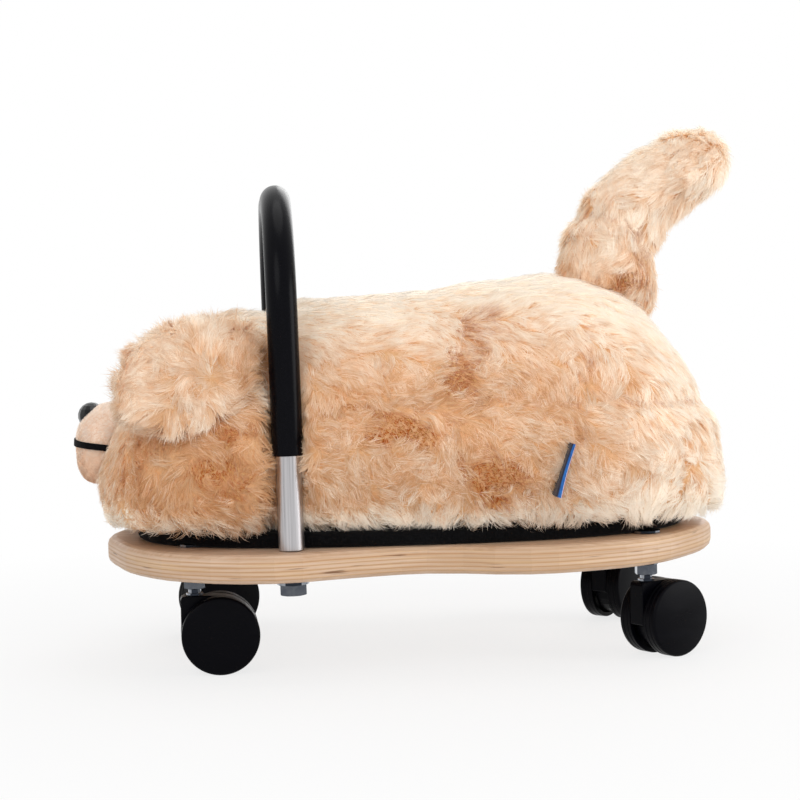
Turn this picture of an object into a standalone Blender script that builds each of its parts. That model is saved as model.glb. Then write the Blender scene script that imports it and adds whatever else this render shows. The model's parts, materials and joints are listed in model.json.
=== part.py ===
"""Plush ride-on puppy on a waisted plywood board, with a U handle and four twin-wheel swivel casters.

Metres, +Z up. The origin lies on the floor under the middle of the board. The head points along -X,
and the puppy's left side is at -Y. Heights are built up from the floor: wheel, housing, stem, nut, board,
cushion base and plush.
"""

import math

import bmesh
import bpy
from mathutils import Vector

# Fits
GAP = 0.0003
PLUSH_GAP = 0.0004
OVERRUN = 0.004
WELD = 0.00001
FLAT_ANGLE = math.radians(0.2)

# Twin-wheel casters
WHEEL_RADIUS = 0.025
WHEEL_WIDTH = 0.0113
WHEEL_DOME = 0.0013
WHEEL_EDGE = 0.0012
WHEEL_FACE_WALL = 0.0028
WHEEL_RIM_WALL = 0.0030
WHEEL_HUB_RADIUS = 0.0068
WHEEL_STEPS = 24
AXLE_RADIUS = 0.003
AXLE_CLEARANCE = 0.0003
WEB_THICKNESS = 0.0114
HOOD_STEP = 0.0004
WEB_LOWER_RADIUS = 0.0205
HOOD_CORNER_RADIUS = 0.0025
HOOD_EDGE = 0.0005
HOOD_FRONT_DROP = 0.003
HOOD_TAIL_ANGLE = -5
WEB_FRONT_ANGLE = -168
CASTER_TRAIL = 0.0155
SOCKET_DEPTH = 0.020
STEM_RADIUS = 0.004
STEM_CLEARANCE = 0.0003
STEM_CHAMFER = 0.0006
STEM_COLLAR_RADIUS = 0.0054
STEM_COLLAR_HEIGHT = 0.0012
STEM_SHOWING = 0.0043
STEM_STEPS = 12
CASTER_X = 0.1447
CASTER_Y = 0.0737
CASTER_TURNS = {"front_left": 2, "front_right": 30, "rear_left": 33, "rear_right": 50}

# Fasteners that hold the casters
LOCK_NUT_FLATS = 0.013
LOCK_NUT_HEIGHT = 0.0065
HEX_CHAMFER = 0.0006
HEX_SIDES = 6
STEM_WASHER_RADIUS = 0.008
STEM_WASHER_THICKNESS = 0.0016
TEE_NUT_FLANGE_RADIUS = 0.0095
TEE_NUT_FLANGE_THICKNESS = 0.0015
TEE_NUT_BARREL_WALL = 0.0012
TEE_NUT_BARREL_LENGTH = 0.011
NUT_STEPS = 12

# Plywood board
BOARD_HALF_LENGTH = 0.203
BOARD_THICKNESS = 0.018
FRONT_LOBE_HALF_WIDTH = 0.1325
WAIST_HALF_WIDTH = 0.1085
REAR_LOBE_HALF_WIDTH = 0.126
BOARD_EDGE_RADIUS = 0.0055
BOARD_EDGE_SEGMENTS = 3
BOARD_CURVE_STEPS = 3

# Handle: an aluminium tube bent to a U, with a soft sleeve
HANDLE_X = -0.0837
HANDLE_HALF_SPREAD = 0.111
HANDLE_RAKE = math.radians(1.06)
HANDLE_RISE = 0.2185
HANDLE_BEND_RADIUS = 0.075
HANDLE_BEND_STEPS = 8
TUBE_RADIUS = 0.008
TUBE_WALL = 0.0015
TUBE_SIDES = 12
GRIP_WALL = 0.0013
GRIP_CLEARANCE = 0.0003
GRIP_START = 0.059
INSERT_LENGTH = 0.024
INSERT_STEPS = 12
BOLT_RADIUS = 0.005
BOLT_HEAD_FLATS = 0.016
BOLT_HEAD_HEIGHT = 0.0064
BOLT_REACH = 0.017
BOLT_HOLE_CLEARANCE = 0.0005
BOLT_WASHER_RADIUS = 0.010
BOLT_WASHER_THICKNESS = 0.002

# Cushion base under the plush, and its screws
BASE_HALF_LENGTH = 0.183
BASE_HALF_WIDTH = 0.107
BASE_HEIGHT = 0.0098
BASE_EDGE = 0.0020
BASE_FRONT_POWER = 2.9
BASE_REAR_POWER = 2.3
BASE_SIDE_STEPS = 10
LEG_NOTCH_CLEARANCE = 0.0018
SCREW_X = 0.062
SCREW_Y = 0.052
SCREW_HEAD_RADIUS = 0.0045
SCREW_HEAD_HEIGHT = 0.0026
SCREW_CROWN_RADIUS = 0.0030
SCREW_RADIUS = 0.0021
SCREW_POINT = 0.0042
SCREW_BITE = 0.0075
SCREW_STEPS = 10

# Plush puppy
PLUSH_HALF_WIDTH = 0.120
PLUSH_HEIGHT = 0.162
PLUSH_LEVELS = 2
FUR_CLEARANCE = 0.0015
BODY_FRONT = -0.112
BODY_LENGTH = 0.318
HEAD_FRONT = -0.204
HEAD_LENGTH = 0.120
MUZZLE_FRONT = -0.222
MUZZLE_LENGTH = 0.050
MUZZLE_HALF_WIDTH = 0.041
MUZZLE_LOW = 0.035
MUZZLE_HEIGHT = 0.054
NOSE_HALF_WIDTH = 0.0140
NOSE_HALF_LENGTH = 0.0090
NOSE_HALF_HEIGHT = 0.0088
NOSE_X = -0.2115
NOSE_RISE = 0.0800
EYE_RADIUS = 0.0085
EYE_X = -0.174
EYE_Y = 0.036
EYE_RISE = 0.106
MOUTH_THICKNESS = 0.004
MOUTH_STAND = 0.0018
MOUTH_RISE = 0.0634
MOUTH_SLOPE = math.radians(6)
EAR_ROOT_X = -0.098
EAR_LENGTH = 0.092
EAR_Y = 0.104
EAR_RISE = 0.116
EAR_HALF_HEIGHT = 0.035
EAR_HALF_THICKNESS = 0.0125
EAR_LEAN = math.radians(20)
TAIL_X = 0.134
TAIL_LOW = 0.130
TAIL_RISE = 0.126
TAIL_REACH = 0.0815
TAIL_HALF_LENGTH = 0.035
TAIL_HALF_WIDTH = 0.028
TAG_X = 0.0845
TAG_LOW = 0.029
TAG_LENGTH = 0.034
TAG_LEAN = math.radians(17)
TAG_DEPTH = 0.022
TAG_SINK = 0.008
TAG_RIBBON = 0.0008
TAG_FOLD_RADIUS = 0.0011
TAG_STEPS = 6

# Heights built up from the floor
AXLE_HEIGHT = WHEEL_RADIUS * math.cos(math.pi / WHEEL_STEPS)
HOOD_RADIUS = WHEEL_RADIUS - HOOD_STEP
HOUSING_TOP = AXLE_HEIGHT + HOOD_RADIUS
LOCK_NUT_BOTTOM = HOUSING_TOP + STEM_SHOWING
STEM_WASHER_BOTTOM = LOCK_NUT_BOTTOM + LOCK_NUT_HEIGHT + GAP
BOARD_BOTTOM = STEM_WASHER_BOTTOM + STEM_WASHER_THICKNESS + GAP
BOARD_TOP = BOARD_BOTTOM + BOARD_THICKNESS
TEE_NUT_TOP = BOARD_TOP + GAP + TEE_NUT_FLANGE_THICKNESS
BASE_BOTTOM = BOARD_TOP + GAP
BASE_TOP = BASE_BOTTOM + BASE_HEIGHT
PLUSH_CUT = BASE_TOP + GAP

# Sizes that follow from a mating piece
TEE_NUT_BORE = STEM_RADIUS + STEM_CLEARANCE
TEE_NUT_BARREL_RADIUS = TEE_NUT_BORE + TEE_NUT_BARREL_WALL
STEM_HOLE_RADIUS = TEE_NUT_BARREL_RADIUS + GAP
AXLE_BORE = AXLE_RADIUS + AXLE_CLEARANCE
WHEEL_INNER = WEB_THICKNESS / 2 + GAP
WHEEL_OUTER = WHEEL_INNER + WHEEL_WIDTH
AXLE_POCKET = WHEEL_OUTER - WHEEL_FACE_WALL
GRIP_BORE = TUBE_RADIUS + GRIP_CLEARANCE
GRIP_RADIUS = GRIP_BORE + GRIP_WALL
TUBE_BORE = TUBE_RADIUS - TUBE_WALL
INSERT_RADIUS = TUBE_BORE - GAP
BOLT_HOLE_RADIUS = BOLT_RADIUS + BOLT_HOLE_CLEARANCE
RAKED_LEG_SEAT = GAP + TUBE_RADIUS * math.tan(HANDLE_RAKE)
RAKED_WASHER_SEAT = GAP + BOLT_WASHER_RADIUS * math.tan(HANDLE_RAKE)

# Half sections of the plush, as shares of its half width and half height, from the back to the belly
PLUSH_RING_SHARES = ((0, 1), (0.74, 0.80), (1, -0.12), (0.80, -0.95), (0, -1))

# Stations along the body, head and muzzle: shares of the length, half width, and the height's low and top
BODY_STATION_SHARES = (
    (0.00, 0.80, 0.03, 0.84),
    (0.085, 0.95, 0.00, 0.93),
    (0.22, 1.00, 0.00, 0.935),
    (0.40, 1.01, 0.00, 0.955),
    (0.58, 1.02, 0.00, 1.01),
    (0.75, 0.97, 0.00, 1.00),
    (0.87, 0.82, 0.00, 0.79),
    (0.955, 0.60, 0.02, 0.55),
    (1.00, 0.35, 0.08, 0.35),
)
HEAD_STATION_SHARES = (
    (0.00, 0.40, 0.09, 0.27),
    (0.08, 0.66, 0.02, 0.43),
    (0.24, 0.85, 0.00, 0.67),
    (0.46, 0.96, 0.00, 0.83),
    (0.76, 1.00, 0.00, 0.89),
    (1.00, 0.92, 0.00, 0.95),
)
MUZZLE_STATION_SHARES = (
    (0.00, 0.50, 0.20, 0.68),
    (0.16, 0.84, 0.05, 0.90),
    (0.50, 1.00, 0.00, 1.00),
    (1.00, 1.00, 0.05, 0.97),
)

# Stations along the tail: shares of its reach, its rise, its half length along X and its half width
TAIL_STATION_SHARES = (
    (0.00, 0.00, 1.00, 1.00),
    (0.02, 0.40, 0.90, 0.96),
    (0.14, 0.62, 0.80, 0.90),
    (0.48, 0.79, 0.68, 0.84),
    (0.80, 0.90, 0.66, 0.80),
    (1.00, 0.98, 0.42, 0.45),
)

# Stations along an ear: shares of its length, its drop in half heights, its bulge, half height and thickness
EAR_STATION_SHARES = (
    (0.00, 0.00, -0.6, 0.50, 0.55),
    (0.30, 0.18, 0.5, 0.95, 1.00),
    (0.72, 0.36, 0.5, 0.97, 1.00),
    (1.00, 0.42, -0.3, 0.50, 0.60),
)

# The board's outline from the nose to the tail: shares of the half length, and of the width named beside it
BOARD_OUTLINE_SHARES = (
    (-0.970, FRONT_LOBE_HALF_WIDTH, 0.25),
    (-0.892, FRONT_LOBE_HALF_WIDTH, 0.59),
    (-0.749, FRONT_LOBE_HALF_WIDTH, 0.85),
    (-0.468, FRONT_LOBE_HALF_WIDTH, 1.00),
    (-0.222, WAIST_HALF_WIDTH, 1.085),
    (0.000, WAIST_HALF_WIDTH, 1.00),
    (0.310, REAR_LOBE_HALF_WIDTH, 1.00),
    (0.552, REAR_LOBE_HALF_WIDTH, 0.915),
    (0.729, REAR_LOBE_HALF_WIDTH, 0.765),
    (0.862, REAR_LOBE_HALF_WIDTH, 0.52),
    (0.965, REAR_LOBE_HALF_WIDTH, 0.235),
)

WOOD = ("birch_plywood", (0.80, 0.62, 0.42), 0.45, 0.0)
BLACK_NYLON = ("black_nylon", (0.012, 0.012, 0.014), 0.28, 0.0)
ZINC = ("zinc_plate", (0.62, 0.64, 0.66), 0.32, 1.0)
ALUMINIUM = ("brushed_aluminium", (0.66, 0.66, 0.67), 0.34, 1.0)
SLEEVE = ("black_sleeve", (0.015, 0.015, 0.018), 0.42, 0.0)
PLUSH = ("long_plush", (0.85, 0.62, 0.40), 0.95, 0.0)
SHORT_PLUSH = ("short_plush", (0.83, 0.58, 0.38), 0.9, 0.0)
BLACK_FABRIC = ("black_fabric", (0.01, 0.01, 0.01), 0.9, 0.0)
BLACK_GLOSS = ("black_gloss", (0.008, 0.008, 0.008), 0.08, 0.0)
RIBBON = ("blue_ribbon", (0.02, 0.10, 0.42), 0.7, 0.0)


def clear_scene():
    for thing in list(bpy.data.objects):
        bpy.data.objects.remove(thing, do_unlink=True)


def new_collection(name):
    made = bpy.data.collections.new(name)
    bpy.context.scene.collection.children.link(made)
    return made


def material(finish):
    """The material of a finish, made the first time it is asked for."""
    name, colour, roughness, metallic = finish
    made = bpy.data.materials.get(name)
    if made:
        return made
    made = bpy.data.materials.new(name)
    made.use_nodes = True
    shader = made.node_tree.nodes["Principled BSDF"]
    shader.inputs["Base Color"].default_value = (*colour, 1.0)
    shader.inputs["Roughness"].default_value = roughness
    shader.inputs["Metallic"].default_value = metallic
    return made


def place(name, mesh, collection, parent=None, location=(0, 0, 0), turn=(0, 0, 0)):
    made = bpy.data.objects.new(name, mesh)
    made.parent = parent
    made.location = location
    made.rotation_euler = turn
    collection.objects.link(made)
    return made


def part(name, mesh, finish, parent=None, location=(0, 0, 0), turn=(0, 0, 0)):
    """One piece of the object. Pieces that are alike share a mesh."""
    if not mesh.materials:
        mesh.materials.append(material(finish))
    return place(name, mesh, PARTS, parent, location, turn)


def cutter(name, mesh, parent=None, location=(0, 0, 0), turn=(0, 0, 0)):
    made = place(name, mesh, CUTTERS, parent, location, turn)
    made.hide_render = True
    made.display_type = "WIRE"
    return made


def empty(name, parent=None, location=(0, 0, 0), turn=(0, 0, 0)):
    return place(name, None, PARTS, parent, location, turn)


def cut(target, *tools):
    for tool in tools:
        boolean = target.modifiers.new("cut_" + tool.name, "BOOLEAN")
        boolean.operation = "DIFFERENCE"
        boolean.object = tool


def smooth(mesh, angle=math.radians(35)):
    mesh.shade_smooth()
    mesh.set_sharp_from_angle(angle=angle)
    return mesh


def evaluated_mesh(thing, flat_caps=False):
    """The mesh that an object makes with its modifiers, welded. The object is removed. With flat_caps
    the triangles that fill a flat face become one face."""
    bpy.context.scene.collection.objects.link(thing)
    graph = bpy.context.evaluated_depsgraph_get()
    mesh = bpy.data.meshes.new_from_object(thing.evaluated_get(graph))
    bpy.data.objects.remove(thing, do_unlink=True)
    shape = bmesh.new()
    shape.from_mesh(mesh)
    bmesh.ops.remove_doubles(shape, verts=shape.verts, dist=WELD)
    if flat_caps:
        bmesh.ops.dissolve_limit(shape, angle_limit=FLAT_ANGLE, verts=shape.verts, edges=shape.edges)
    shape.to_mesh(mesh)
    shape.free()
    return mesh


def prism_mesh(name, radius, low, high, sides):
    """An upright prism between two heights. Its first corner lies at +X."""
    mesh = bpy.data.meshes.new(name)
    shape = bmesh.new()
    bmesh.ops.create_cone(
        shape, cap_ends=True, segments=sides, radius1=radius, radius2=radius, depth=high - low
    )
    bmesh.ops.translate(shape, verts=shape.verts, vec=(0, 0, (low + high) / 2))
    shape.to_mesh(mesh)
    shape.free()
    return smooth(mesh)


def box_mesh(name, sizes):
    mesh = bpy.data.meshes.new(name)
    shape = bmesh.new()
    bmesh.ops.create_cube(shape, size=1)
    bmesh.ops.scale(shape, verts=shape.verts, vec=sizes)
    shape.to_mesh(mesh)
    shape.free()
    return mesh


def ball_mesh(name, half_sizes, segments, rings):
    mesh = bpy.data.meshes.new(name)
    shape = bmesh.new()
    bmesh.ops.create_uvsphere(shape, u_segments=segments, v_segments=rings, radius=1)
    bmesh.ops.scale(shape, verts=shape.verts, vec=half_sizes)
    shape.to_mesh(mesh)
    shape.free()
    return smooth(mesh)


def turned_mesh(name, profile, steps):
    """A turned shape about Z. The profile runs down its outer side, as pairs of radius and height."""
    mesh = bpy.data.meshes.new(name)
    edges = [(i, i + 1) for i in range(len(profile) - 1)]
    if profile[0][0] > 0:
        edges.append((len(profile) - 1, 0))
    mesh.from_pydata([(radius, 0, height) for radius, height in profile], edges, [])
    blank = bpy.data.objects.new(name, mesh)
    screw = blank.modifiers.new("turn", "SCREW")
    screw.axis = "Z"
    screw.steps = steps
    screw.render_steps = steps
    screw.use_merge_vertices = True
    screw.merge_threshold = WELD
    return smooth(evaluated_mesh(blank))


def ring_mesh(name, bore, radius, low, high, steps):
    return turned_mesh(name, [(bore, high), (radius, high), (radius, low), (bore, low)], steps)


def tube_mesh(name, path, radius, sides):
    """A round bar along a path, closed at its ends."""
    curve = bpy.data.curves.new(name, "CURVE")
    curve.dimensions = "3D"
    curve.bevel_depth = radius
    curve.bevel_resolution = (sides - 4) // 2
    curve.use_fill_caps = True
    spline = curve.splines.new("POLY")
    spline.points.add(len(path) - 1)
    for point, place_on_path in zip(spline.points, path):
        point.co = (*place_on_path, 1)
    return smooth(evaluated_mesh(bpy.data.objects.new(name, curve)))


def plate_mesh(name, outline, thickness, curve_steps=0):
    """A flat plate about Z = 0. With curve_steps the outline is a smooth curve through its points."""
    curve = bpy.data.curves.new(name, "CURVE")
    curve.dimensions = "2D"
    curve.fill_mode = "BOTH"
    curve.extrude = thickness / 2
    if curve_steps:
        curve.resolution_u = curve_steps
        spline = curve.splines.new("BEZIER")
        spline.bezier_points.add(len(outline) - 1)
        for point, (x, y) in zip(spline.bezier_points, outline):
            point.co = (x, y, 0)
            point.handle_left_type = "AUTO"
            point.handle_right_type = "AUTO"
    else:
        spline = curve.splines.new("POLY")
        spline.points.add(len(outline) - 1)
        for point, (x, y) in zip(spline.points, outline):
            point.co = (x, y, 0, 1)
    spline.use_cyclic_u = True
    return smooth(evaluated_mesh(bpy.data.objects.new(name, curve), flat_caps=True))


def arc(centre, radius, start, stop, steps):
    """Points on an arc from one angle in degrees to another, both ends included."""
    angles = [math.radians(start + (stop - start) * i / steps) for i in range(steps + 1)]
    return [(centre[0] + radius * math.cos(a), centre[1] + radius * math.sin(a)) for a in angles]


def round_edges(target, width, segments, angle=math.radians(60)):
    bevel = target.modifiers.new("round_edges", "BEVEL")
    bevel.width = width
    bevel.segments = segments
    bevel.limit_method = "ANGLE"
    bevel.angle_limit = angle
    bevel.harden_normals = False


def loft_cage(name, rings):
    """A closed cage through rings of equally many points, with one face over each end."""
    mesh = bpy.data.meshes.new(name)
    count = len(rings[0])
    faces = [list(reversed(range(count)))]
    for level in range(len(rings) - 1):
        first = level * count
        for i in range(count):
            j = (i + 1) % count
            faces.append([first + i, first + j, first + count + j, first + count + i])
    faces.append([(len(rings) - 1) * count + i for i in range(count)])
    mesh.from_pydata([point for ring in rings for point in ring], [], faces)
    mesh.shade_smooth()
    shape = bmesh.new()
    shape.from_mesh(mesh)
    bmesh.ops.recalc_face_normals(shape, faces=shape.faces)
    shape.to_mesh(mesh)
    shape.free()
    return mesh


def ring_swell(count):
    """How much larger a cage's ring is than the smooth ring that it makes."""
    return 3 / (2 + math.cos(2 * math.pi / count))


def subdivide(target):
    surface = target.modifiers.new("smooth_form", "SUBSURF")
    surface.levels = PLUSH_LEVELS
    surface.render_levels = PLUSH_LEVELS


def soft_part(name, cage, finish):
    made = part(name, cage, finish)
    subdivide(made)
    return made


def swollen(source):
    """A cutter that stands a gap outside a soft form."""
    made = cutter(source.name + "_swollen", source.data)
    subdivide(made)
    push = made.modifiers.new("gap", "DISPLACE")
    push.strength = PLUSH_GAP
    push.mid_level = 0
    return made


def loaf_rings(front, length, half_width, low, height, stations):
    """Rings across X for the body, head and muzzle."""
    half = [Vector((0, side, up)) for side, up in PLUSH_RING_SHARES]
    around = half + [Vector((0, -share.y, share.z)) for share in reversed(half[1:-1])]
    swell = ring_swell(len(around))
    rings = []
    for along, wide, bottom, top in stations:
        middle = low + height * (bottom + top) / 2
        tall = height * (top - bottom) / 2 * swell
        rings.append(
            [
                (front + length * along, half_width * wide * swell * share.y, middle + tall * share.z)
                for share in around
            ]
        )
    return rings


def make_board():
    """Waisted plywood board with a hole for each stem, handle bolt and cushion screw."""
    near_side = [(along * BOARD_HALF_LENGTH, -wide * share) for along, wide, share in BOARD_OUTLINE_SHARES]
    far_side = [(x, -y) for x, y in reversed(near_side)]
    outline = [(-BOARD_HALF_LENGTH, 0), *near_side, (BOARD_HALF_LENGTH, 0), *far_side]
    middle = (BOARD_BOTTOM + BOARD_TOP) / 2
    mesh = plate_mesh("board", outline, BOARD_THICKNESS, BOARD_CURVE_STEPS)
    board = part("board", mesh, WOOD, location=(0, 0, middle))
    round_edges(board, BOARD_EDGE_RADIUS, BOARD_EDGE_SEGMENTS)
    low = BOARD_BOTTOM - OVERRUN
    high = BOARD_TOP + OVERRUN
    stem_hole = prism_mesh("stem_hole", STEM_HOLE_RADIUS, low, high, NUT_STEPS)
    for name, (x, y) in caster_places().items():
        cut(board, cutter("stem_hole_" + name, stem_hole, location=(x, y, 0)))
    screw_hole = prism_mesh("screw_hole", SCREW_RADIUS + GAP, low, high, SCREW_STEPS)
    for name, (x, y) in screw_places().items():
        cut(board, cutter("screw_hole_" + name, screw_hole, location=(x, y, 0)))
    return board


def caster_places():
    ends = (("front", -CASTER_X), ("rear", CASTER_X))
    sides = (("left", -CASTER_Y), ("right", CASTER_Y))
    return {f"{end}_{side}": (x, y) for end, x in ends for side, y in sides}


def screw_places():
    ends = (("front", -SCREW_X), ("rear", SCREW_X))
    sides = (("left", -SCREW_Y), ("right", SCREW_Y))
    return {f"{end}_{side}": (x, y) for end, x in ends for side, y in sides}


def hex_mesh(name, flats, low, high):
    return prism_mesh(name, flats / 2 / math.cos(math.pi / HEX_SIDES), low, high, HEX_SIDES)


def hex_crown_cutter(name, flats, low, high, parent=None, location=(0, 0, 0)):
    """A ring that turns off the corners of a hexagon at its lower end."""
    corner = flats / 2 / math.cos(math.pi / HEX_SIDES)
    profile = [
        (corner, low + HEX_CHAMFER),
        (corner + OVERRUN, low + HEX_CHAMFER),
        (corner + OVERRUN, low - OVERRUN),
        (flats / 2, low - OVERRUN),
        (flats / 2, low),
    ]
    return cutter(name, turned_mesh(name, profile, NUT_STEPS), parent, location)


def wheel_mesh():
    """A cup-shaped wheel about Z. Its domed face looks along +Z, and the web's middle is at Z = 0."""
    rim = WHEEL_RADIUS - WHEEL_RIM_WALL
    shoulder = WHEEL_OUTER - WHEEL_DOME
    floor = AXLE_POCKET - GAP
    return turned_mesh(
        "wheel",
        [
            (0, WHEEL_OUTER),
            (WHEEL_RADIUS - WHEEL_EDGE, shoulder),
            (WHEEL_RADIUS, shoulder - WHEEL_EDGE),
            (WHEEL_RADIUS, WHEEL_INNER),
            (rim, WHEEL_INNER),
            (rim, floor),
            (WHEEL_HUB_RADIUS, floor),
            (WHEEL_HUB_RADIUS, WHEEL_INNER),
            (AXLE_BORE, WHEEL_INNER),
            (AXLE_BORE, AXLE_POCKET),
            (0, AXLE_POCKET),
        ],
        WHEEL_STEPS,
    )


def housing_mesh():
    """The housing seen from its side: a square shoulder round the stem, a hood over the wheels' upper
    half, and a smaller web below the axle. X runs along the trail and Y upwards."""
    axle = (CASTER_TRAIL, AXLE_HEIGHT)
    front = CASTER_TRAIL - HOOD_RADIUS
    corner = (front + HOOD_CORNER_RADIUS, HOUSING_TOP - HOOD_CORNER_RADIUS)
    outline = [(front, AXLE_HEIGHT - HOOD_FRONT_DROP)]
    outline += arc(corner, HOOD_CORNER_RADIUS, 180, 90, 2)
    outline += arc(axle, HOOD_RADIUS, 90, HOOD_TAIL_ANGLE, 9)
    outline += arc(axle, WEB_LOWER_RADIUS, HOOD_TAIL_ANGLE, WEB_FRONT_ANGLE, 11)
    return plate_mesh("housing", outline, WEB_THICKNESS)


def stem_mesh():
    """A threaded stem with a collar that rides on the housing."""
    low = HOUSING_TOP - SOCKET_DEPTH + GAP
    collar = HOUSING_TOP + GAP
    return turned_mesh(
        "stem",
        [
            (0, TEE_NUT_TOP),
            (STEM_RADIUS - STEM_CHAMFER, TEE_NUT_TOP),
            (STEM_RADIUS, TEE_NUT_TOP - STEM_CHAMFER),
            (STEM_RADIUS, collar + STEM_COLLAR_HEIGHT),
            (STEM_COLLAR_RADIUS, collar + STEM_COLLAR_HEIGHT),
            (STEM_COLLAR_RADIUS, collar),
            (STEM_RADIUS, collar),
            (STEM_RADIUS, low + STEM_CHAMFER),
            (STEM_RADIUS - STEM_CHAMFER, low),
            (0, low),
        ],
        STEM_STEPS,
    )


def tee_nut_mesh():
    flange = BOARD_TOP + GAP
    return turned_mesh(
        "tee_nut",
        [
            (TEE_NUT_BORE, TEE_NUT_TOP),
            (TEE_NUT_FLANGE_RADIUS, TEE_NUT_TOP),
            (TEE_NUT_FLANGE_RADIUS, flange),
            (TEE_NUT_BARREL_RADIUS, flange),
            (TEE_NUT_BARREL_RADIUS, flange - TEE_NUT_BARREL_LENGTH),
            (TEE_NUT_BORE, flange - TEE_NUT_BARREL_LENGTH),
        ],
        NUT_STEPS,
    )


def make_casters():
    wheel = wheel_mesh()
    housing = housing_mesh()
    stem = stem_mesh()
    tee_nut = tee_nut_mesh()
    washer = ring_mesh(
        "stem_washer",
        TEE_NUT_BORE,
        STEM_WASHER_RADIUS,
        STEM_WASHER_BOTTOM,
        STEM_WASHER_BOTTOM + STEM_WASHER_THICKNESS,
        NUT_STEPS,
    )
    nut_top = LOCK_NUT_BOTTOM + LOCK_NUT_HEIGHT
    lock_nut = hex_mesh("lock_nut", LOCK_NUT_FLATS, LOCK_NUT_BOTTOM, nut_top)
    nut_bore = prism_mesh("nut_bore", TEE_NUT_BORE, LOCK_NUT_BOTTOM - OVERRUN, nut_top + OVERRUN, STEM_STEPS)
    socket = prism_mesh(
        "stem_socket", TEE_NUT_BORE, HOUSING_TOP - SOCKET_DEPTH, HOUSING_TOP + OVERRUN, STEM_STEPS
    )
    half_axle = AXLE_POCKET - GAP
    axle = prism_mesh("axle", AXLE_RADIUS, -half_axle, half_axle, STEM_STEPS)
    axle_bore = prism_mesh("axle_bore", AXLE_BORE, -WEB_THICKNESS, WEB_THICKNESS, STEM_STEPS)
    half_step = math.pi / WHEEL_STEPS
    for name, (x, y) in caster_places().items():
        here = (x, y, 0)
        part("tee_nut_" + name, tee_nut, ZINC, location=here)
        part("stem_washer_" + name, washer, ZINC, location=here)
        part("stem_" + name, stem, ZINC, location=here)
        nut = part("lock_nut_" + name, lock_nut, ZINC, location=here)
        crown = hex_crown_cutter("nut_crown_" + name, LOCK_NUT_FLATS, LOCK_NUT_BOTTOM, nut_top, None, here)
        cut(nut, crown, cutter("nut_bore_" + name, nut_bore, location=here))
        swivel = empty("swivel_axis_" + name, location=here, turn=(0, 0, math.radians(CASTER_TURNS[name])))
        hood = part("housing_" + name, housing, BLACK_NYLON, swivel, turn=(math.pi / 2, 0, 0))
        round_edges(hood, HOOD_EDGE, 1, math.radians(50))
        spin = empty("spin_axis_" + name, swivel, (CASTER_TRAIL, 0, AXLE_HEIGHT), (math.pi / 2, 0, 0))
        cut(
            hood,
            cutter("stem_socket_" + name, socket, swivel),
            cutter("axle_bore_" + name, axle_bore, spin),
        )
        part("axle_" + name, axle, ZINC, spin)
        part("wheel_left_" + name, wheel, BLACK_NYLON, spin, turn=(0, 0, half_step))
        part("wheel_right_" + name, wheel, BLACK_NYLON, spin, turn=(math.pi, 0, half_step))


def handle_path(start):
    """The handle's centre line in its own raked frame, from a height on one leg to the same on the other."""
    bend = (HANDLE_HALF_SPREAD - HANDLE_BEND_RADIUS, HANDLE_RISE - HANDLE_BEND_RADIUS)
    right = [(HANDLE_HALF_SPREAD, start)]
    right += arc(bend, HANDLE_BEND_RADIUS, 0, 90, HANDLE_BEND_STEPS)
    left = [(-y, z) for y, z in reversed(right)]
    return [Vector((0, y, z)) for y, z in right + left]


def make_handle(board, cushion_base):
    """The bent tube, its sleeve, and the insert, washer and bolt that fix each leg. Returns the cutter
    that keeps the plush clear of the handle."""
    frame = empty("handle_frame", location=(HANDLE_X, 0, BOARD_TOP), turn=(0, -HANDLE_RAKE, 0))
    tube = part(
        "handle_tube",
        tube_mesh("handle_tube", handle_path(RAKED_LEG_SEAT), TUBE_RADIUS, TUBE_SIDES),
        ALUMINIUM,
        frame,
    )
    tube_bore = tube_mesh("tube_bore", handle_path(-OVERRUN), TUBE_BORE, TUBE_SIDES)
    cut(tube, cutter("tube_bore", tube_bore, frame))
    grip = part(
        "handle_grip",
        tube_mesh("handle_grip", handle_path(GRIP_START), GRIP_RADIUS, TUBE_SIDES),
        SLEEVE,
        frame,
    )
    grip_bore = tube_mesh("grip_bore", handle_path(GRIP_START - OVERRUN), GRIP_BORE, TUBE_SIDES)
    cut(grip, cutter("grip_bore", grip_bore, frame))
    insert = ring_mesh(
        "handle_insert",
        BOLT_RADIUS + GAP,
        INSERT_RADIUS,
        RAKED_LEG_SEAT,
        RAKED_LEG_SEAT + INSERT_LENGTH,
        INSERT_STEPS,
    )
    washer_top = -BOARD_THICKNESS - RAKED_WASHER_SEAT
    washer_bottom = washer_top - BOLT_WASHER_THICKNESS
    washer = ring_mesh(
        "bolt_washer", BOLT_HOLE_RADIUS, BOLT_WASHER_RADIUS, washer_bottom, washer_top, NUT_STEPS
    )
    bolt = bolt_mesh(washer_bottom - GAP)
    hole = prism_mesh("bolt_hole", BOLT_HOLE_RADIUS, -BOARD_THICKNESS - OVERRUN, OVERRUN, NUT_STEPS)
    notch = prism_mesh("leg_notch", TUBE_RADIUS + LEG_NOTCH_CLEARANCE, 0, BASE_HEIGHT + OVERRUN, NUT_STEPS)
    for side, y in (("left", -HANDLE_HALF_SPREAD), ("right", HANDLE_HALF_SPREAD)):
        here = (0, y, 0)
        part("handle_insert_" + side, insert, ZINC, frame, here)
        part("bolt_washer_" + side, washer, ZINC, frame, here)
        part("handle_bolt_" + side, bolt, ZINC, frame, here)
        cut(board, cutter("bolt_hole_" + side, hole, frame, here))
        cut(cushion_base, cutter("leg_notch_" + side, notch, frame, here))
    keep_clear = tube_mesh("handle_room", handle_path(-OVERRUN), GRIP_RADIUS + FUR_CLEARANCE, TUBE_SIDES)
    return cutter("handle_room", keep_clear, frame)


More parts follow.
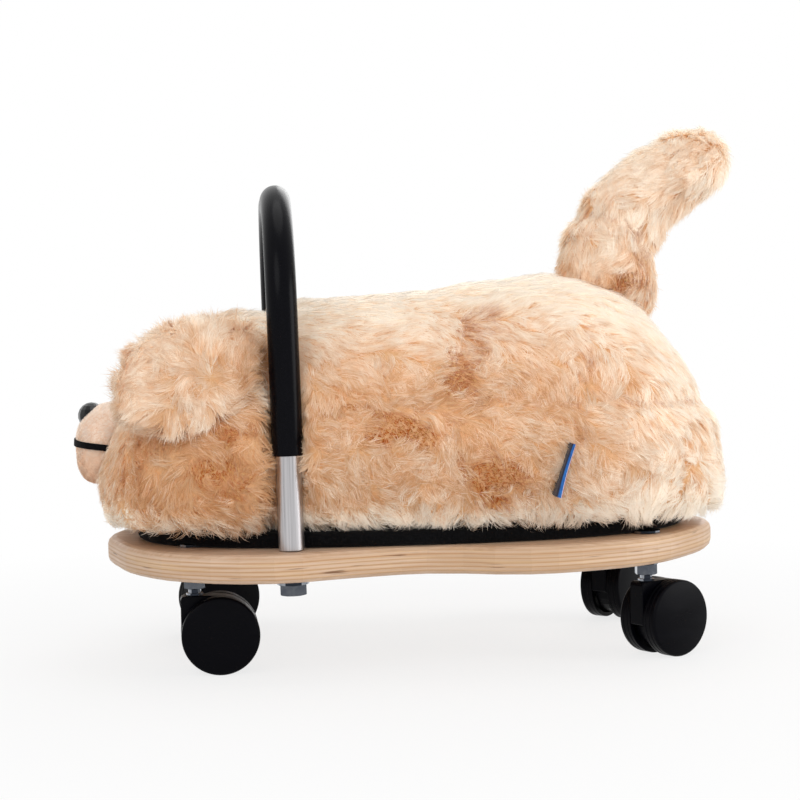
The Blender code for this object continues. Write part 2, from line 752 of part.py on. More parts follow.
def bolt_mesh(head_top):
    """A hexagon-head bolt whose head hangs below a height."""
    head_bottom = head_top - BOLT_HEAD_HEIGHT
    head = place("bolt_blank", hex_mesh("bolt_blank", BOLT_HEAD_FLATS, head_bottom, head_top), CUTTERS)
    shank_mesh = prism_mesh("shank", BOLT_RADIUS, head_top - HEX_CHAMFER, BOLT_REACH, NUT_STEPS)
    shank = cutter("bolt_shank", shank_mesh)
    join = head.modifiers.new("shank", "BOOLEAN")
    join.operation = "UNION"
    join.object = shank
    cut(head, hex_crown_cutter("bolt_crown", BOLT_HEAD_FLATS, head_bottom, head_top))
    CUTTERS.objects.unlink(head)
    return smooth(evaluated_mesh(head))


def make_cushion_base():
    """The black-covered base panel, with pockets over the tee nuts and pilot holes for its screws."""
    half = []
    for i in range(BASE_SIDE_STEPS * 2 + 1):
        turn = math.pi - math.pi * i / (BASE_SIDE_STEPS * 2)
        power = BASE_FRONT_POWER if turn > math.pi / 2 else BASE_REAR_POWER
        across = abs(math.cos(turn)) ** (2 / power)
        out = abs(math.sin(turn)) ** (2 / power)
        half.append((math.copysign(across, math.cos(turn)) * BASE_HALF_LENGTH, -out * BASE_HALF_WIDTH))
    half[0] = (-BASE_HALF_LENGTH, 0)
    half[-1] = (BASE_HALF_LENGTH, 0)
    outline = half + [(x, -y) for x, y in reversed(half[1:-1])]
    mesh = plate_mesh("cushion_base", outline, BASE_HEIGHT)
    base = part("cushion_base", mesh, BLACK_FABRIC, location=(0, 0, (BASE_BOTTOM + BASE_TOP) / 2))
    round_edges(base, BASE_EDGE, 1)
    pocket = prism_mesh(
        "tee_nut_pocket", TEE_NUT_FLANGE_RADIUS + GAP, BASE_BOTTOM - OVERRUN, TEE_NUT_TOP + GAP, NUT_STEPS
    )
    for name, (x, y) in caster_places().items():
        cut(base, cutter("tee_nut_pocket_" + name, pocket, location=(x, y, 0)))
    pilot = prism_mesh(
        "pilot_hole", SCREW_RADIUS + GAP, BASE_BOTTOM - OVERRUN, BASE_BOTTOM + SCREW_BITE + GAP, SCREW_STEPS
    )
    for name, (x, y) in screw_places().items():
        cut(base, cutter("pilot_hole_" + name, pilot, location=(x, y, 0)))
    return base


def make_screws():
    """Pan-head screws from under the board into the cushion base."""
    seat = BOARD_BOTTOM - GAP
    tip = BASE_BOTTOM + SCREW_BITE
    mesh = turned_mesh(
        "cushion_screw",
        [
            (0, tip),
            (SCREW_RADIUS, tip - SCREW_POINT),
            (SCREW_RADIUS, seat),
            (SCREW_HEAD_RADIUS, seat),
            (SCREW_HEAD_RADIUS, seat - SCREW_HEAD_HEIGHT / 2),
            (SCREW_CROWN_RADIUS, seat - SCREW_HEAD_HEIGHT),
            (0, seat - SCREW_HEAD_HEIGHT),
        ],
        SCREW_STEPS,
    )
    for name, (x, y) in screw_places().items():
        part("cushion_screw_" + name, mesh, ZINC, location=(x, y, 0))


def ear_rings(side):
    """Rings along an ear that hangs forward over the side of the head. side is -1 for the left ear."""
    across = Vector((0, side * math.cos(EAR_LEAN), math.sin(EAR_LEAN)))
    upward = Vector((0, -side * math.sin(EAR_LEAN), math.cos(EAR_LEAN)))
    count = 6
    swell = ring_swell(count)
    rings = []
    for along, drop, bulge, tall, thick in EAR_STATION_SHARES:
        middle = Vector((EAR_ROOT_X - EAR_LENGTH * along, side * EAR_Y, BOARD_TOP + EAR_RISE))
        middle += across * EAR_HALF_THICKNESS * bulge - upward * EAR_HALF_HEIGHT * drop
        ring = []
        for i in range(count):
            turn = 2 * math.pi * i / count
            ring.append(
                middle
                + upward * (EAR_HALF_HEIGHT * tall * swell * math.cos(turn))
                + across * (EAR_HALF_THICKNESS * thick * swell * math.sin(turn))
            )
        rings.append(ring)
    return rings


def tail_rings():
    """Rings along the tail's spine, each square to the spine."""
    spine = [
        Vector((TAIL_X + TAIL_REACH * out, 0, BOARD_TOP + TAIL_LOW + TAIL_RISE * up))
        for out, up, _, _ in TAIL_STATION_SHARES
    ]
    count = 6
    swell = ring_swell(count)
    rings = []
    for i, (_, _, long_share, wide_share) in enumerate(TAIL_STATION_SHARES):
        along = (spine[min(i + 1, len(spine) - 1)] - spine[max(i - 1, 0)]).normalized()
        fore = Vector((along.z, 0, -along.x))
        ring = []
        for step in range(count):
            turn = 2 * math.pi * step / count
            ring.append(
                spine[i]
                + fore * (TAIL_HALF_LENGTH * long_share * swell * math.cos(turn))
                + Vector((0, TAIL_HALF_WIDTH * wide_share * swell * math.sin(turn), 0))
            )
        rings.append(ring)
    return rings


def make_mouth(muzzle, *rooms):
    """The mouth strip: a slice of the muzzle's form, grown by the strip's stand, less the muzzle itself."""
    strip = soft_part("mouth_strip", muzzle.data.copy(), BLACK_FABRIC)
    grow = strip.modifiers.new("stand", "DISPLACE")
    grow.strength = MOUTH_STAND
    grow.mid_level = 0
    box = box_mesh("mouth_slice", (2 * MUZZLE_LENGTH, 4 * MUZZLE_HALF_WIDTH, MOUTH_THICKNESS))
    place_of_slice = (MUZZLE_FRONT, 0, BOARD_TOP + MOUTH_RISE)
    cut(strip, cutter("mouth_slice", box, location=place_of_slice, turn=(0, MOUTH_SLOPE, 0)))
    strip.modifiers[-1].operation = "INTERSECT"
    cut(strip, *rooms)


def tag_mesh():
    """A ribbon folded once into a loop, seen along Z. Its open ends are at Y = 0."""
    fold = TAG_FOLD_RADIUS
    end = TAG_DEPTH - fold - TAG_RIBBON
    outer = [(fold + TAG_RIBBON, 0)]
    outer += arc((0, -end), fold + TAG_RIBBON, 0, -180, TAG_STEPS)
    outer += [(-fold - TAG_RIBBON, 0), (-fold, 0)]
    inner = arc((0, -end), fold, -180, 0, TAG_STEPS)
    return plate_mesh("side_tag", outer + inner + [(fold, 0)], TAG_LENGTH)


def make_plush(handle_room):
    """The stuffed puppy. The body is cut by nothing soft, and each smaller piece by the larger ones."""
    body_cage = loft_cage(
        "plush_body",
        loaf_rings(BODY_FRONT, BODY_LENGTH, PLUSH_HALF_WIDTH, BOARD_TOP, PLUSH_HEIGHT, BODY_STATION_SHARES),
    )
    head_cage = loft_cage(
        "plush_head",
        loaf_rings(HEAD_FRONT, HEAD_LENGTH, PLUSH_HALF_WIDTH, BOARD_TOP, PLUSH_HEIGHT, HEAD_STATION_SHARES),
    )
    muzzle_cage = loft_cage(
        "plush_muzzle",
        loaf_rings(
            MUZZLE_FRONT,
            MUZZLE_LENGTH,
            MUZZLE_HALF_WIDTH,
            BOARD_TOP + MUZZLE_LOW,
            MUZZLE_HEIGHT,
            MUZZLE_STATION_SHARES,
        ),
    )
    body = soft_part("plush_body", body_cage, PLUSH)
    head = soft_part("plush_head", head_cage, PLUSH)
    muzzle = soft_part("plush_muzzle", muzzle_cage, SHORT_PLUSH)
    tail = soft_part("plush_tail", loft_cage("plush_tail", tail_rings()), PLUSH)
    ears = [
        soft_part("ear_left", loft_cage("ear_left", ear_rings(-1)), PLUSH),
        soft_part("ear_right", loft_cage("ear_right", ear_rings(1)), PLUSH),
    ]
    room_body = swollen(body)
    room_head = swollen(head)
    room_muzzle = swollen(muzzle)
    under = box_mesh("under_plush", (4 * BOARD_HALF_LENGTH, 4 * PLUSH_HALF_WIDTH, PLUSH_CUT))
    under_plush = cutter("under_plush", under, location=(0, 0, PLUSH_CUT / 2))
    cut(body, under_plush, handle_room)
    cut(head, under_plush, handle_room, room_body)
    cut(muzzle, room_head)
    cut(tail, room_body)
    for ear in ears:
        cut(ear, room_head, room_body, handle_room)

    nose = part(
        "nose",
        ball_mesh("nose", (NOSE_HALF_LENGTH, NOSE_HALF_WIDTH, NOSE_HALF_HEIGHT), 14, 9),
        BLACK_GLOSS,
        location=(NOSE_X, 0, BOARD_TOP + NOSE_RISE),
    )
    cut(nose, room_muzzle)
    make_mouth(muzzle, room_muzzle, room_head)
    eye = ball_mesh("eye", (EYE_RADIUS, EYE_RADIUS, EYE_RADIUS), 12, 8)
    for side, y in (("left", -EYE_Y), ("right", EYE_Y)):
        made = part("eye_" + side, eye, BLACK_GLOSS, location=(EYE_X, y, BOARD_TOP + EYE_RISE))
        cut(made, room_head)
    tag = part(
        "side_tag",
        tag_mesh(),
        RIBBON,
        location=(TAG_X, -PLUSH_HALF_WIDTH + TAG_SINK, BOARD_TOP + TAG_LOW + TAG_LENGTH / 2),
        turn=(0, TAG_LEAN, 0),
    )
    cut(tag, room_body)


clear_scene()
PARTS = new_collection("plush_ride_on_puppy")
CUTTERS = new_collection("cutters")
BOARD = make_board()
make_casters()
CUSHION_BASE = make_cushion_base()
HANDLE_ROOM = make_handle(BOARD, CUSHION_BASE)
make_screws()
make_plush(HANDLE_ROOM)
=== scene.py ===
"""Looks of the plush ride-on puppy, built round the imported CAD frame.

Metres, +Z up. The head points along -X and the puppy's left side, which the camera sees, is at -Y. The
rigid CAD solids stay and get materials. Each soft solid is replaced by a skin with pile on it. The pile is
made of mesh strands: fine ribbons that are drawn together into locks.
"""

import json
import math

import bmesh
import bpy
import numpy as np
from mathutils import Matrix, Vector, kdtree, noise
from mathutils.bvhtree import BVHTree


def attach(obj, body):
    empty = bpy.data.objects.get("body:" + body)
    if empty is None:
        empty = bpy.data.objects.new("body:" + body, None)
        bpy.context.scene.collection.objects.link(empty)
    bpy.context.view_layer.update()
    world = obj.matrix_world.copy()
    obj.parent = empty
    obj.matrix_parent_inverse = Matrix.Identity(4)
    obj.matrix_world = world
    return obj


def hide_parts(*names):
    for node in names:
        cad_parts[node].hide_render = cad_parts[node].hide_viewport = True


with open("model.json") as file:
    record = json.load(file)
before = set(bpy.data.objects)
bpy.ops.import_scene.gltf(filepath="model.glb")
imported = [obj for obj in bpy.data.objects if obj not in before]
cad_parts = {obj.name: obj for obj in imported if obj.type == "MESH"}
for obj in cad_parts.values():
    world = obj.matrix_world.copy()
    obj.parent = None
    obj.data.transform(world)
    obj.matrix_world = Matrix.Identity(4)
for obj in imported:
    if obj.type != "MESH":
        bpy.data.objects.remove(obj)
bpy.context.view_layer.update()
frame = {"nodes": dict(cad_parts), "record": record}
NODES = frame["nodes"]
ROOT = "ride_on"
PLY_THICKNESS = 0.0026
PLY_WANDER = 0.0009

# Camera, fitted to the photograph
FRAME_PIXELS = 800
FOCAL_PIXELS = 2018.3
SENSOR_WIDTH = 36.0
CAMERA_PLACE = Vector((-0.11415, -1.34884, 0.23985))
CAMERA_YAW = math.radians(4.58)
CAMERA_PITCH = math.radians(-3.14)
CAMERA_ROLL = math.radians(-1.15)
CAMERA_CLIP_START = 0.05

# Skins under the pile
SKIN_VOXEL = 0.005
SKIN_STAND = -0.0015
MUZZLE_STAND = 0.0005
SKIN_RELIEF = 0.0015
SKIN_RELIEF_SCALES = (30, 70)
STUFFING = {
    "quality": 5,
    "mass": 0.25,
    "tension_stiffness": 12,
    "compression_stiffness": 12,
    "bending_stiffness": 0.8,
    "use_pressure": True,
    "uniform_pressure_force": 4,
    "vertex_group_mass": "held",
}
STUFFING_CAP = 0.003
CLOTH_FRAMES = 20
REST_BAND = 0.012
HOLD_LEAST = 0.02
COVER_VOXEL = 0.002
COVER_RISE = 0.004
PUCKER_SCALES = (18, 60)
PUCKER_DEPTH = 0.0007
CREASE_DEPTH = 0.0025
CREASE_REACH = 0.007

# Pile
SEED = 7
SWIRL_SEED = 1
SWAY_SEED = 21
STRAND_POINTS = 4
STRAND_WIDTH = 0.00036
STRAND_TAPER = 0.55
LIFT_LOST = 0.75
STRANDS_A_PIECE = 39000
STRAND_ROLL = 0.9
SKIN_SHADING = 0.88
HIDDEN_START = 0.0012
HIDDEN_REACH = 0.006
LOCKS = (0.022, 0.009, 0.0032)
FEWEST = 8
SHORTEST = {"lock": 0.8, "tuft": 0.7, "wisp": 0.6, "strand": 0.55}
TUFT_PULL = (0.35, 1.6)
WISP_PULL = (0.55, 1.4)
STRAND_PULL = (0.3, 0.8)
STRAND_PULL_POWER = 1.2
LOOSE_PULL = 0.05
LOOSE_SHARE = 0.3
LOOSE_TURN = 0.6
SWIRL_SCALE = 26
SWAY_SCALE = 75
SWAY = 1.1
LOCK_TURN = 0.9
TUFT_TURN = 0.6
WISP_TURN = 0.35
STRAND_TURN = 0.18
PARTING_LIFT = math.radians(78)
PARTING_CUT = 0.72
PARTING_EDGE = 1.15
PARTING_RAGGED = 0.8
PARTING_SCALES = (75, 190)
WISP_PEACH = 0.12
# Painted shade in the gaps between wisps: how much it deepens the colour, and the share of the wisp spacing
# it is measured in
GAP_SHADE_DEPTH = 0.5
GAP_SHADE_REACH = 0.9
SPECK = (0.76, 0.46, 0.18)
# Painted shade along seams: a warm line painted as the shade in each seam's crease, its reach, edge and
# strength; it also stands the pile up and cuts it short there
SEAM_REACH = 0.004
SEAM_EDGE = 0.75
SEAM_SHADE_WARMTH = 0.6
SEAM_TRIM = 0.18
TOP_CALM = 0.7
MEAN_TINT = 0.55
LIFT_SPREAD = (0.65, 1.35)
WIDTH_SPREAD = (0.7, 1.3)
# Extra painted shade between wisps low on the body
BELLY_GAP_SHADE_SHARE = 0.5
UNDERSIDE = 0.0935
UNDERSIDE_SLOPE = -0.6

# Each strand's cell in the bake map: its height over its width, and where the strand lies in it
CELL_TALLNESS = 4
CELL_SIDES = (0.12, 0.88)
CELL_FOOT = 0.06
CELL_RISE = 0.88

# Stretches of height z or of length x over which the pile changes, as a start and a run
FRINGE = (0.113, -0.012)
BASE_EDGE = (0.108, -0.016)
BELLY = (0.150, -0.05)
BELLY_GAP_SHADE = (0.150, -0.04)
RUMP = (0.08, 0.07)
HUMP = (0, 0.08)
HEAD_FRONT = (-0.168, -0.02)
HEAD_BEHIND_EAR = (-0.124, 0.01)
HEAD_OVER_CHEEK = (0.170, 0.008)
CHEEK = (0.190, -0.04)
JAW_FRONT = (-0.165, -0.02)
JAW = (0.130, -0.02)
EAR_REAR = (-0.130, 0.010)
TAIL_FOLD = (0.285, -0.03)
CHIN = (0.148, -0.03)

# Places that the pile turns about
TAIL_FOOT = (0.145, 0, 0.225)
TAIL_FOOT_REACH = 0.034
HEAD_CENTRE = (-0.225, 0, 0.150)
EAR_CENTRE = (-0.150, 0, 0.190)
MUZZLE_CENTRE = (-0.235, 0, 0.15)


def srgb(red, green, blue):
    """The linear colour of an sRGB one given from 0 to 255."""
    shares = [value / 255 for value in (red, green, blue)]
    return tuple(v / 12.92 if v <= 0.04045 else ((v + 0.055) / 1.055) ** 2.4 for v in shares)


class Nodes:
    """A node tree under construction: short calls that add and join its nodes."""

    def __init__(self, tree):
        self.tree = tree

    def node(self, kind, inputs=None, **settings):
        made = self.tree.nodes.new("ShaderNode" + kind)
        for key, value in settings.items():
            setattr(made, key, value)
        for key, value in (inputs or {}).items():
            self.put(made.inputs[key], value)
        return made

    def put(self, socket, value):
        if isinstance(value, bpy.types.NodeSocket):
            self.tree.links.new(value, socket)
        elif isinstance(value, tuple) and len(value) == 3 and socket.type == "RGBA":
            socket.default_value = (*value, 1)
        else:
            socket.default_value = value

    def span(self, value, low, high, out_low=0.0, out_high=1.0):
        """The value's range from low to high, moved to another range and clamped."""
        inputs = {"Value": value, "From Min": low, "From Max": high, "To Min": out_low, "To Max": out_high}
        return self.node("MapRange", inputs).outputs["Result"]

    def math(self, operation, first, second=0.0):
        made = self.node("Math", operation=operation)
        self.put(made.inputs[0], first)
        self.put(made.inputs[1], second)
        return made.outputs[0]

    def looked_at(self):
        """1 for rays from the camera, off glossy things or through clear ones, and 0 for those that light."""
        paths = self.node("LightPath").outputs
        seen = self.math("MAXIMUM", paths["Is Camera Ray"], paths["Is Glossy Ray"])
        return self.math("MAXIMUM", seen, paths["Is Transmission Ray"])


class Finish(Nodes):
    """A material under construction."""

    def __init__(self, name):
        self.material = bpy.data.materials.new(name)
        self.material.use_nodes = True
        super().__init__(self.material.node_tree)
        self.shader = self.tree.nodes["Principled BSDF"]

    def set(self, **inputs):
        """Principled inputs by name, with spaces written as underscores."""
        for key, value in inputs.items():
            self.put(self.shader.inputs[key.replace("_", " ")], value)
        return self.material

    def place(self, scale=(1, 1, 1)):
        """Object coordinates, scaled along each axis."""
        source = self.node("TexCoord").outputs["Object"]
        return self.node("Mapping", {"Vector": source, "Scale": scale}).outputs["Vector"]

    def facing(self, axis):
        """How squarely the surface looks along an axis, either way, from 0 to 1."""
        parts = self.node("SeparateXYZ", {"Vector": self.node("NewGeometry").outputs["Normal"]})
        return self.math("ABSOLUTE", parts.outputs[axis])

    def noise(self, scale, detail=3, stretch=(1, 1, 1), rough=0.5, distortion=0.0):
        inputs = {"Scale": scale, "Detail": detail, "Roughness": rough, "Distortion": distortion}
        return self.node("TexNoise", {"Vector": self.place(stretch), **inputs}).outputs["Fac"]

    def attribute(self, name):
        return self.node("Attribute", attribute_name=name).outputs["Fac"]

    def mix(self, share, first, second, blend="MIX"):
        made = self.node("Mix", data_type="RGBA", blend_type=blend)
        self.put(made.inputs[0], share)
        self.put(made.inputs[6], first)
        self.put(made.inputs[7], second)
        return made.outputs[2]

    def over(self, colour, source, low, high, shade, most=1.0):
        """A shade laid over a colour as the source goes from low to high."""
        return self.mix(self.span(source, low, high, 0.0, most), colour, shade)

    def bump(self, height, depth, strength):
        made = self.node("Bump", {"Height": height, "Distance": depth, "Strength": strength})
        self.put(self.shader.inputs["Normal"], made.outputs["Normal"])

    def share_with(self, share, other):
        """Another shader takes a share of the surface."""
        both = self.node("MixShader")
        self.put(both.inputs[0], share)
        self.put(both.inputs[1], self.shader.outputs[0])
        self.put(both.inputs[2], other.outputs[0])
        self.put(self.tree.nodes["Material Output"].inputs["Surface"], both.outputs[0])


# Rigid materials

def plywood():
    """Lacquered birch plywood: long grain on the faces, thin plies and small checks on the edge."""
    finish = Finish("plywood")
    warp = finish.noise(7, 2, (1, 3, 1))
    faces = finish.noise(60, 4, (0.3, 5, 5), rough=0.6, distortion=0.4)
    edges = finish.noise(60, 4, (0.2, 0.2, 6), rough=0.6, distortion=0.6)
    streak = finish.noise(26, 3, (0.35, 0.35, 9), rough=0.55, distortion=0.5)
    pores = finish.noise(260, 2, (0.12, 3, 3), rough=0.6)
    checks = finish.noise(120, 1, (0.22, 0.22, 5))
    height = finish.node("SeparateXYZ", {"Vector": finish.place()}).outputs["Z"]
    height = finish.math("ADD", height, finish.math("MULTIPLY", streak, PLY_WANDER))
    plies = finish.math("SINE", finish.math("MULTIPLY", height, 2 * math.pi / PLY_THICKNESS))
    edge = finish.span(finish.facing("Z"), 0.8, 0.45)
    grain = finish.node("Mix", {"Factor": edge})
    finish.put(grain.inputs[2], faces)
    finish.put(grain.inputs[3], edges)
    grain = grain.outputs[0]
    pores = finish.math("MULTIPLY", pores, finish.span(edge, 0.0, 1.0, 1.0, 0.0))
    colour = finish.over(srgb(221, 193, 168), grain, 0.35, 0.68, srgb(188, 151, 119), 0.85)
    colour = finish.over(colour, warp, 0.4, 0.7, srgb(194, 160, 124), 0.4)
    colour = finish.over(colour, pores, 0.62, 0.74, srgb(172, 124, 80), 0.5)
    for source, low, high, most, shade in (
        (plies, -0.4, 0.9, 0.55, srgb(192, 144, 92)),  # bands
        # The pale streaks are painted highlights along the edge
        (streak, 0.54, 0.66, 0.45, srgb(222, 186, 138)),  # pale streaks
        (plies, 0.9, 1.0, 0.65, srgb(158, 112, 70)),  # glue lines
        (checks, 0.68, 0.74, 0.85, srgb(112, 74, 44)),  # small splits
    ):
        share = finish.math("MULTIPLY", finish.span(source, low, high, 0.0, most), edge)
        colour = finish.mix(share, colour, shade)
    finish.bump(finish.math("ADD", grain, pores), 0.0002, 0.25)
    rough = finish.span(grain, 0.3, 0.7, 0.42, 0.56)
    return finish.set(Base_Color=colour, Roughness=rough, Coat_Weight=0.15, Coat_Roughness=0.35)


def black_nylon():
    finish = Finish("black_nylon")
    grain = finish.noise(1400, 2)
    scuff = finish.noise(40, 3, (1, 1, 3))
    colour = finish.over(srgb(4, 4, 8), scuff, 0.5, 0.8, srgb(9, 9, 14))
    finish.bump(grain, 0.00008, 0.35)
    rough = finish.span(scuff, 0.3, 0.7, 0.26, 0.38)
    return finish.set(Base_Color=colour, Roughness=rough, Specular_IOR_Level=0.055)


def zinc():
    """Bright zinc plate with a painted reflection: faces that don't look along x are painted darker, as if
    they mirrored a dark part of a room.
    """
    finish = Finish("zinc")
    cloud = finish.noise(220, 3)
    colour = finish.over(srgb(150, 156, 166), cloud, 0.3, 0.7, srgb(196, 200, 206))
    # Painted reflection: darker towards faces that don't look along x
    colour = finish.over(srgb(44, 48, 56), finish.facing("X"), 0.4, 0.95, colour)
    finish.bump(cloud, 0.00004, 0.15)
    return finish.set(Base_Color=colour, Metallic=1.0, Roughness=finish.span(cloud, 0.3, 0.7, 0.1, 0.22))


def aluminium():
    finish = Finish("aluminium")
    lines = finish.noise(900, 3, (1, 1, 0.01))
    colour = finish.over(srgb(168, 166, 168), lines, 0.35, 0.65, srgb(200, 198, 200))
    finish.bump(lines, 0.00006, 0.4)
    return finish.set(Base_Color=colour, Metallic=1.0, Roughness=finish.span(lines, 0.3, 0.7, 0.26, 0.4))


def sleeve():
    finish = Finish("sleeve")
    grain = finish.noise(900, 3)
    finish.bump(grain, 0.00012, 0.3)
    colour = finish.over(srgb(3, 3, 7), grain, 0.4, 0.7, srgb(6, 6, 11))
    return finish.set(Base_Color=colour, Roughness=0.24, Specular_IOR_Level=0.07)


def black_fabric():
    """Matte black cloth with a fine weave."""
    finish = Finish("black_fabric")
    across = finish.noise(1100, 1, (1, 1, 0.35))
    along = finish.noise(1100, 1, (0.35, 0.35, 1))
    weave = finish.math("MULTIPLY", across, along)
    colour = finish.over(srgb(4, 4, 5), weave, 0.12, 0.4, srgb(13, 13, 15))
    finish.bump(weave, 0.0005, 0.8)
    return finish.set(Base_Color=colour, Roughness=0.95, Specular_IOR_Level=0.1, Sheen_Weight=0.03)


def black_gloss():
    finish = Finish("black_gloss")
    cloud = finish.noise(160, 2)
    colour = finish.over(srgb(3, 3, 3), cloud, 0.4, 0.7, srgb(8, 7, 7))
    finish.bump(cloud, 0.0001, 0.1)
    finish.set(Coat_Weight=0.1, Coat_Roughness=0.05)
    return finish.set(Base_Color=colour, Roughness=0.2, Specular_IOR_Level=0.16)


def blue_ribbon():
    """Woven ribbon: blue, with one leaf painted dark as shade, a pale line and a red one beside the fold, and
    red inside.
    """
    finish = Finish("ribbon")
    across = finish.attribute("across")
    ribs = finish.span(finish.noise(1500, 1, (1, 1, 0.2)), 0.35, 0.65)
    blue = finish.mix(ribs, srgb(4, 70, 140), srgb(18, 104, 184))
    # Painted shade: the leaf towards the -x side of the fold is darkened
    colour = finish.over(blue, across, -0.35, -0.6, srgb(10, 20, 44))
    colour = finish.over(colour, across, 0.5, 0.6, srgb(206, 206, 214))
    red = finish.mix(ribs, srgb(140, 20, 26), srgb(186, 44, 42))
    stripe = finish.math("MULTIPLY", finish.span(across, 0.7, 0.78), finish.span(across, 0.99, 0.95))
    colour = finish.over(colour, across, 0.7, 0.95, blue)
    colour = finish.mix(stripe, colour, red)
    colour = finish.mix(finish.attribute("inside"), colour, red)
    finish.bump(ribs, 0.0002, 0.5)
    return finish.set(Base_Color=colour, Roughness=0.6, Sheen_Weight=0.1)


# Pile materials

def pile(name, mottle, pale, peach, honey, root, warm):
    """Strands: deeper at the root, partly their own colour and partly painted shade deep in the pile, and
    paler at the tip, with slow drifts of colour, painted shade in the gaps between wisps, and warm partings,
    some of them painted shade along seams and under the ears. Hair lets light through, so a strand seen from
    its back is lit from its front."""
    finish = Finish(name)
    along = finish.attribute("along")
    tint = finish.attribute("tint")
    parting_and_shade = finish.attribute("warm")
    drift = finish.span(finish.noise(30, 3, rough=0.6), 0.3, 0.7, -0.16, 0.16)
    lock = finish.span(finish.noise(110, 2), 0.3, 0.7, -0.14, 0.14)
    depth = finish.math("ADD", drift, lock)
    # Painted shade: deeper colour in the gaps between wisps
    depth = finish.math("ADD", depth, finish.math("MULTIPLY", finish.attribute("gap"), GAP_SHADE_DEPTH))
    depth = finish.math("ADD", finish.attribute("peach"), finish.math("MULTIPLY", depth, mottle))
    tip = finish.over(pale, depth, 0.0, 1.0, peach)
    tip = finish.over(tip, depth, 0.9, 1.6, honey)
    speck = finish.over(warm, finish.noise(560, 2), 0.42, 0.6, SPECK)
    # The parting colour, with its specks, also paints the shade along seams, under the ears and at an ear's
    # root
    tip = finish.mix(parting_and_shade, tip, speck)
    # Deeper colour towards the root: partly the pile's own colour, partly painted shade deep in the pile
    ground = finish.over(pale, depth, -0.3, 0.4, root)
    base = finish.mix(parting_and_shade, ground, warm)
    colour = finish.over(base, along, 0.0, 0.7, tip)
    shade = finish.span(tint, 0.0, 1.0, 0.82, 1.08)
    shade = finish.node("CombineColor", {"Red": shade, "Green": shade, "Blue": shade}).outputs["Color"]
    colour = finish.mix(1.0, colour, shade, "MULTIPLY")
    finish.set(Base_Color=colour, Roughness=0.65, Specular_IOR_Level=0.14, Sheen_Weight=0.08)
    through = finish.node("BsdfTranslucent", {"Color": colour})
    finish.share_with(finish.node("NewGeometry").outputs["Backfacing"], through)
    return finish.material


def backing(name, colour, deep):
    """The knitted backing that shows between the strands."""
    finish = Finish(name)
    knit = finish.noise(420, 2)
    mixed = finish.over(deep, knit, 0.35, 0.65, colour)
    finish.bump(knit, 0.0008, 0.6)
    return finish.set(Base_Color=mixed, Roughness=0.95, Sheen_Weight=0.2)


def add_object(name, data):
    made = bpy.data.objects.new(name, data)
    bpy.context.scene.collection.objects.link(made)
    return made


def place_camera():
    sine, cosine = math.sin(CAMERA_YAW), math.cos(CAMERA_YAW)
    flat = math.cos(CAMERA_PITCH)
    forward = Vector((sine * flat, cosine * flat, math.sin(CAMERA_PITCH)))
    level = Vector((cosine, -sine, 0))
    upward = level.cross(forward)
    right = level * math.cos(CAMERA_ROLL) + upward * math.sin(CAMERA_ROLL)
    top = upward * math.cos(CAMERA_ROLL) - level * math.sin(CAMERA_ROLL)
    lens = bpy.data.cameras.new("camera")
    lens.sensor_width = SENSOR_WIDTH
    lens.lens = FOCAL_PIXELS / FRAME_PIXELS * SENSOR_WIDTH
    lens.clip_start = CAMERA_CLIP_START
    turn = Matrix((right, top, -forward)).transposed().to_4x4()
    camera = bpy.context.scene.camera = add_object("camera", lens)
    camera.matrix_world = Matrix.Translation(CAMERA_PLACE) @ turn


# Studio

FLOOR_HALF_SIZE = 6.0
FLOOR_FADE_START = 0.22
FLOOR_FADE_END = 0.62
FLOOR_GLOW_SHARE = 0.78
FLOOR_GREY = 0.86
LAMPS = {  # place, width and power
    "key": ((-0.9, -1.5, 1.4), 1.2, 7.5),
    "front": ((0.1, -2.1, 0.35), 1.6, 16),
    "top": ((0.0, 0.2, 1.9), 1.4, 8),
    "back": ((0.6, 1.6, 0.9), 1.2, 7),
    "side": ((1.5, -0.4, 0.4), 0.9, 7),
}
AIM = Vector((0, 0, 0.17))
SURROUND_LEVEL = 0.46


def make_floor():
    corners = [(x * FLOOR_HALF_SIZE, y * FLOOR_HALF_SIZE, 0) for x, y in ((-1, -1), (1, -1), (1, 1), (-1, 1))]
    mesh = bpy.data.meshes.new("floor")
    mesh.from_pydata(corners, [], [(0, 1, 2, 3)])
    floor = add_object("floor", mesh)
    finish = Finish("studio_floor")
    finish.set(Base_Color=(FLOOR_GREY,) * 3, Roughness=0.9)
    glow = finish.node("Emission", {"Color": (1.0, 1.0, 1.0), "Strength": 1.0})
    radius = finish.node("VectorMath", {0: finish.place()}, operation="LENGTH").outputs["Value"]
    share = finish.span(radius, FLOOR_FADE_START, FLOOR_FADE_END, FLOOR_GLOW_SHARE, 1.0)
    finish.share_with(finish.math("MULTIPLY", finish.looked_at(), share), glow)
    mesh.materials.append(finish.material)


def make_studio():
    scene = bpy.context.scene
    scene.view_settings.view_transform = "Standard"
    for name, (place, width, power) in LAMPS.items():
        light = bpy.data.lights.new(name, "AREA")
        light.shape = "DISK"
        light.size = width
        light.energy = power
        made = add_object(name, light)
        made.visible_glossy = name != "front"
        made.location = place
        made.rotation_euler = (AIM - made.location).to_track_quat("-Z", "Y").to_euler()
    world = scene.world = bpy.data.worlds.new("studio")
    world.use_nodes = True
    surround = Nodes(world.node_tree)
    ground = surround.tree.nodes["Background"]
    surround.put(ground.inputs["Color"], (1, 1, 1))
    surround.put(ground.inputs["Strength"], surround.span(surround.looked_at(), 0.0, 1.0, SURROUND_LEVEL))
    make_floor()


# Rigid forms modelled again, with more sides than the CAD's

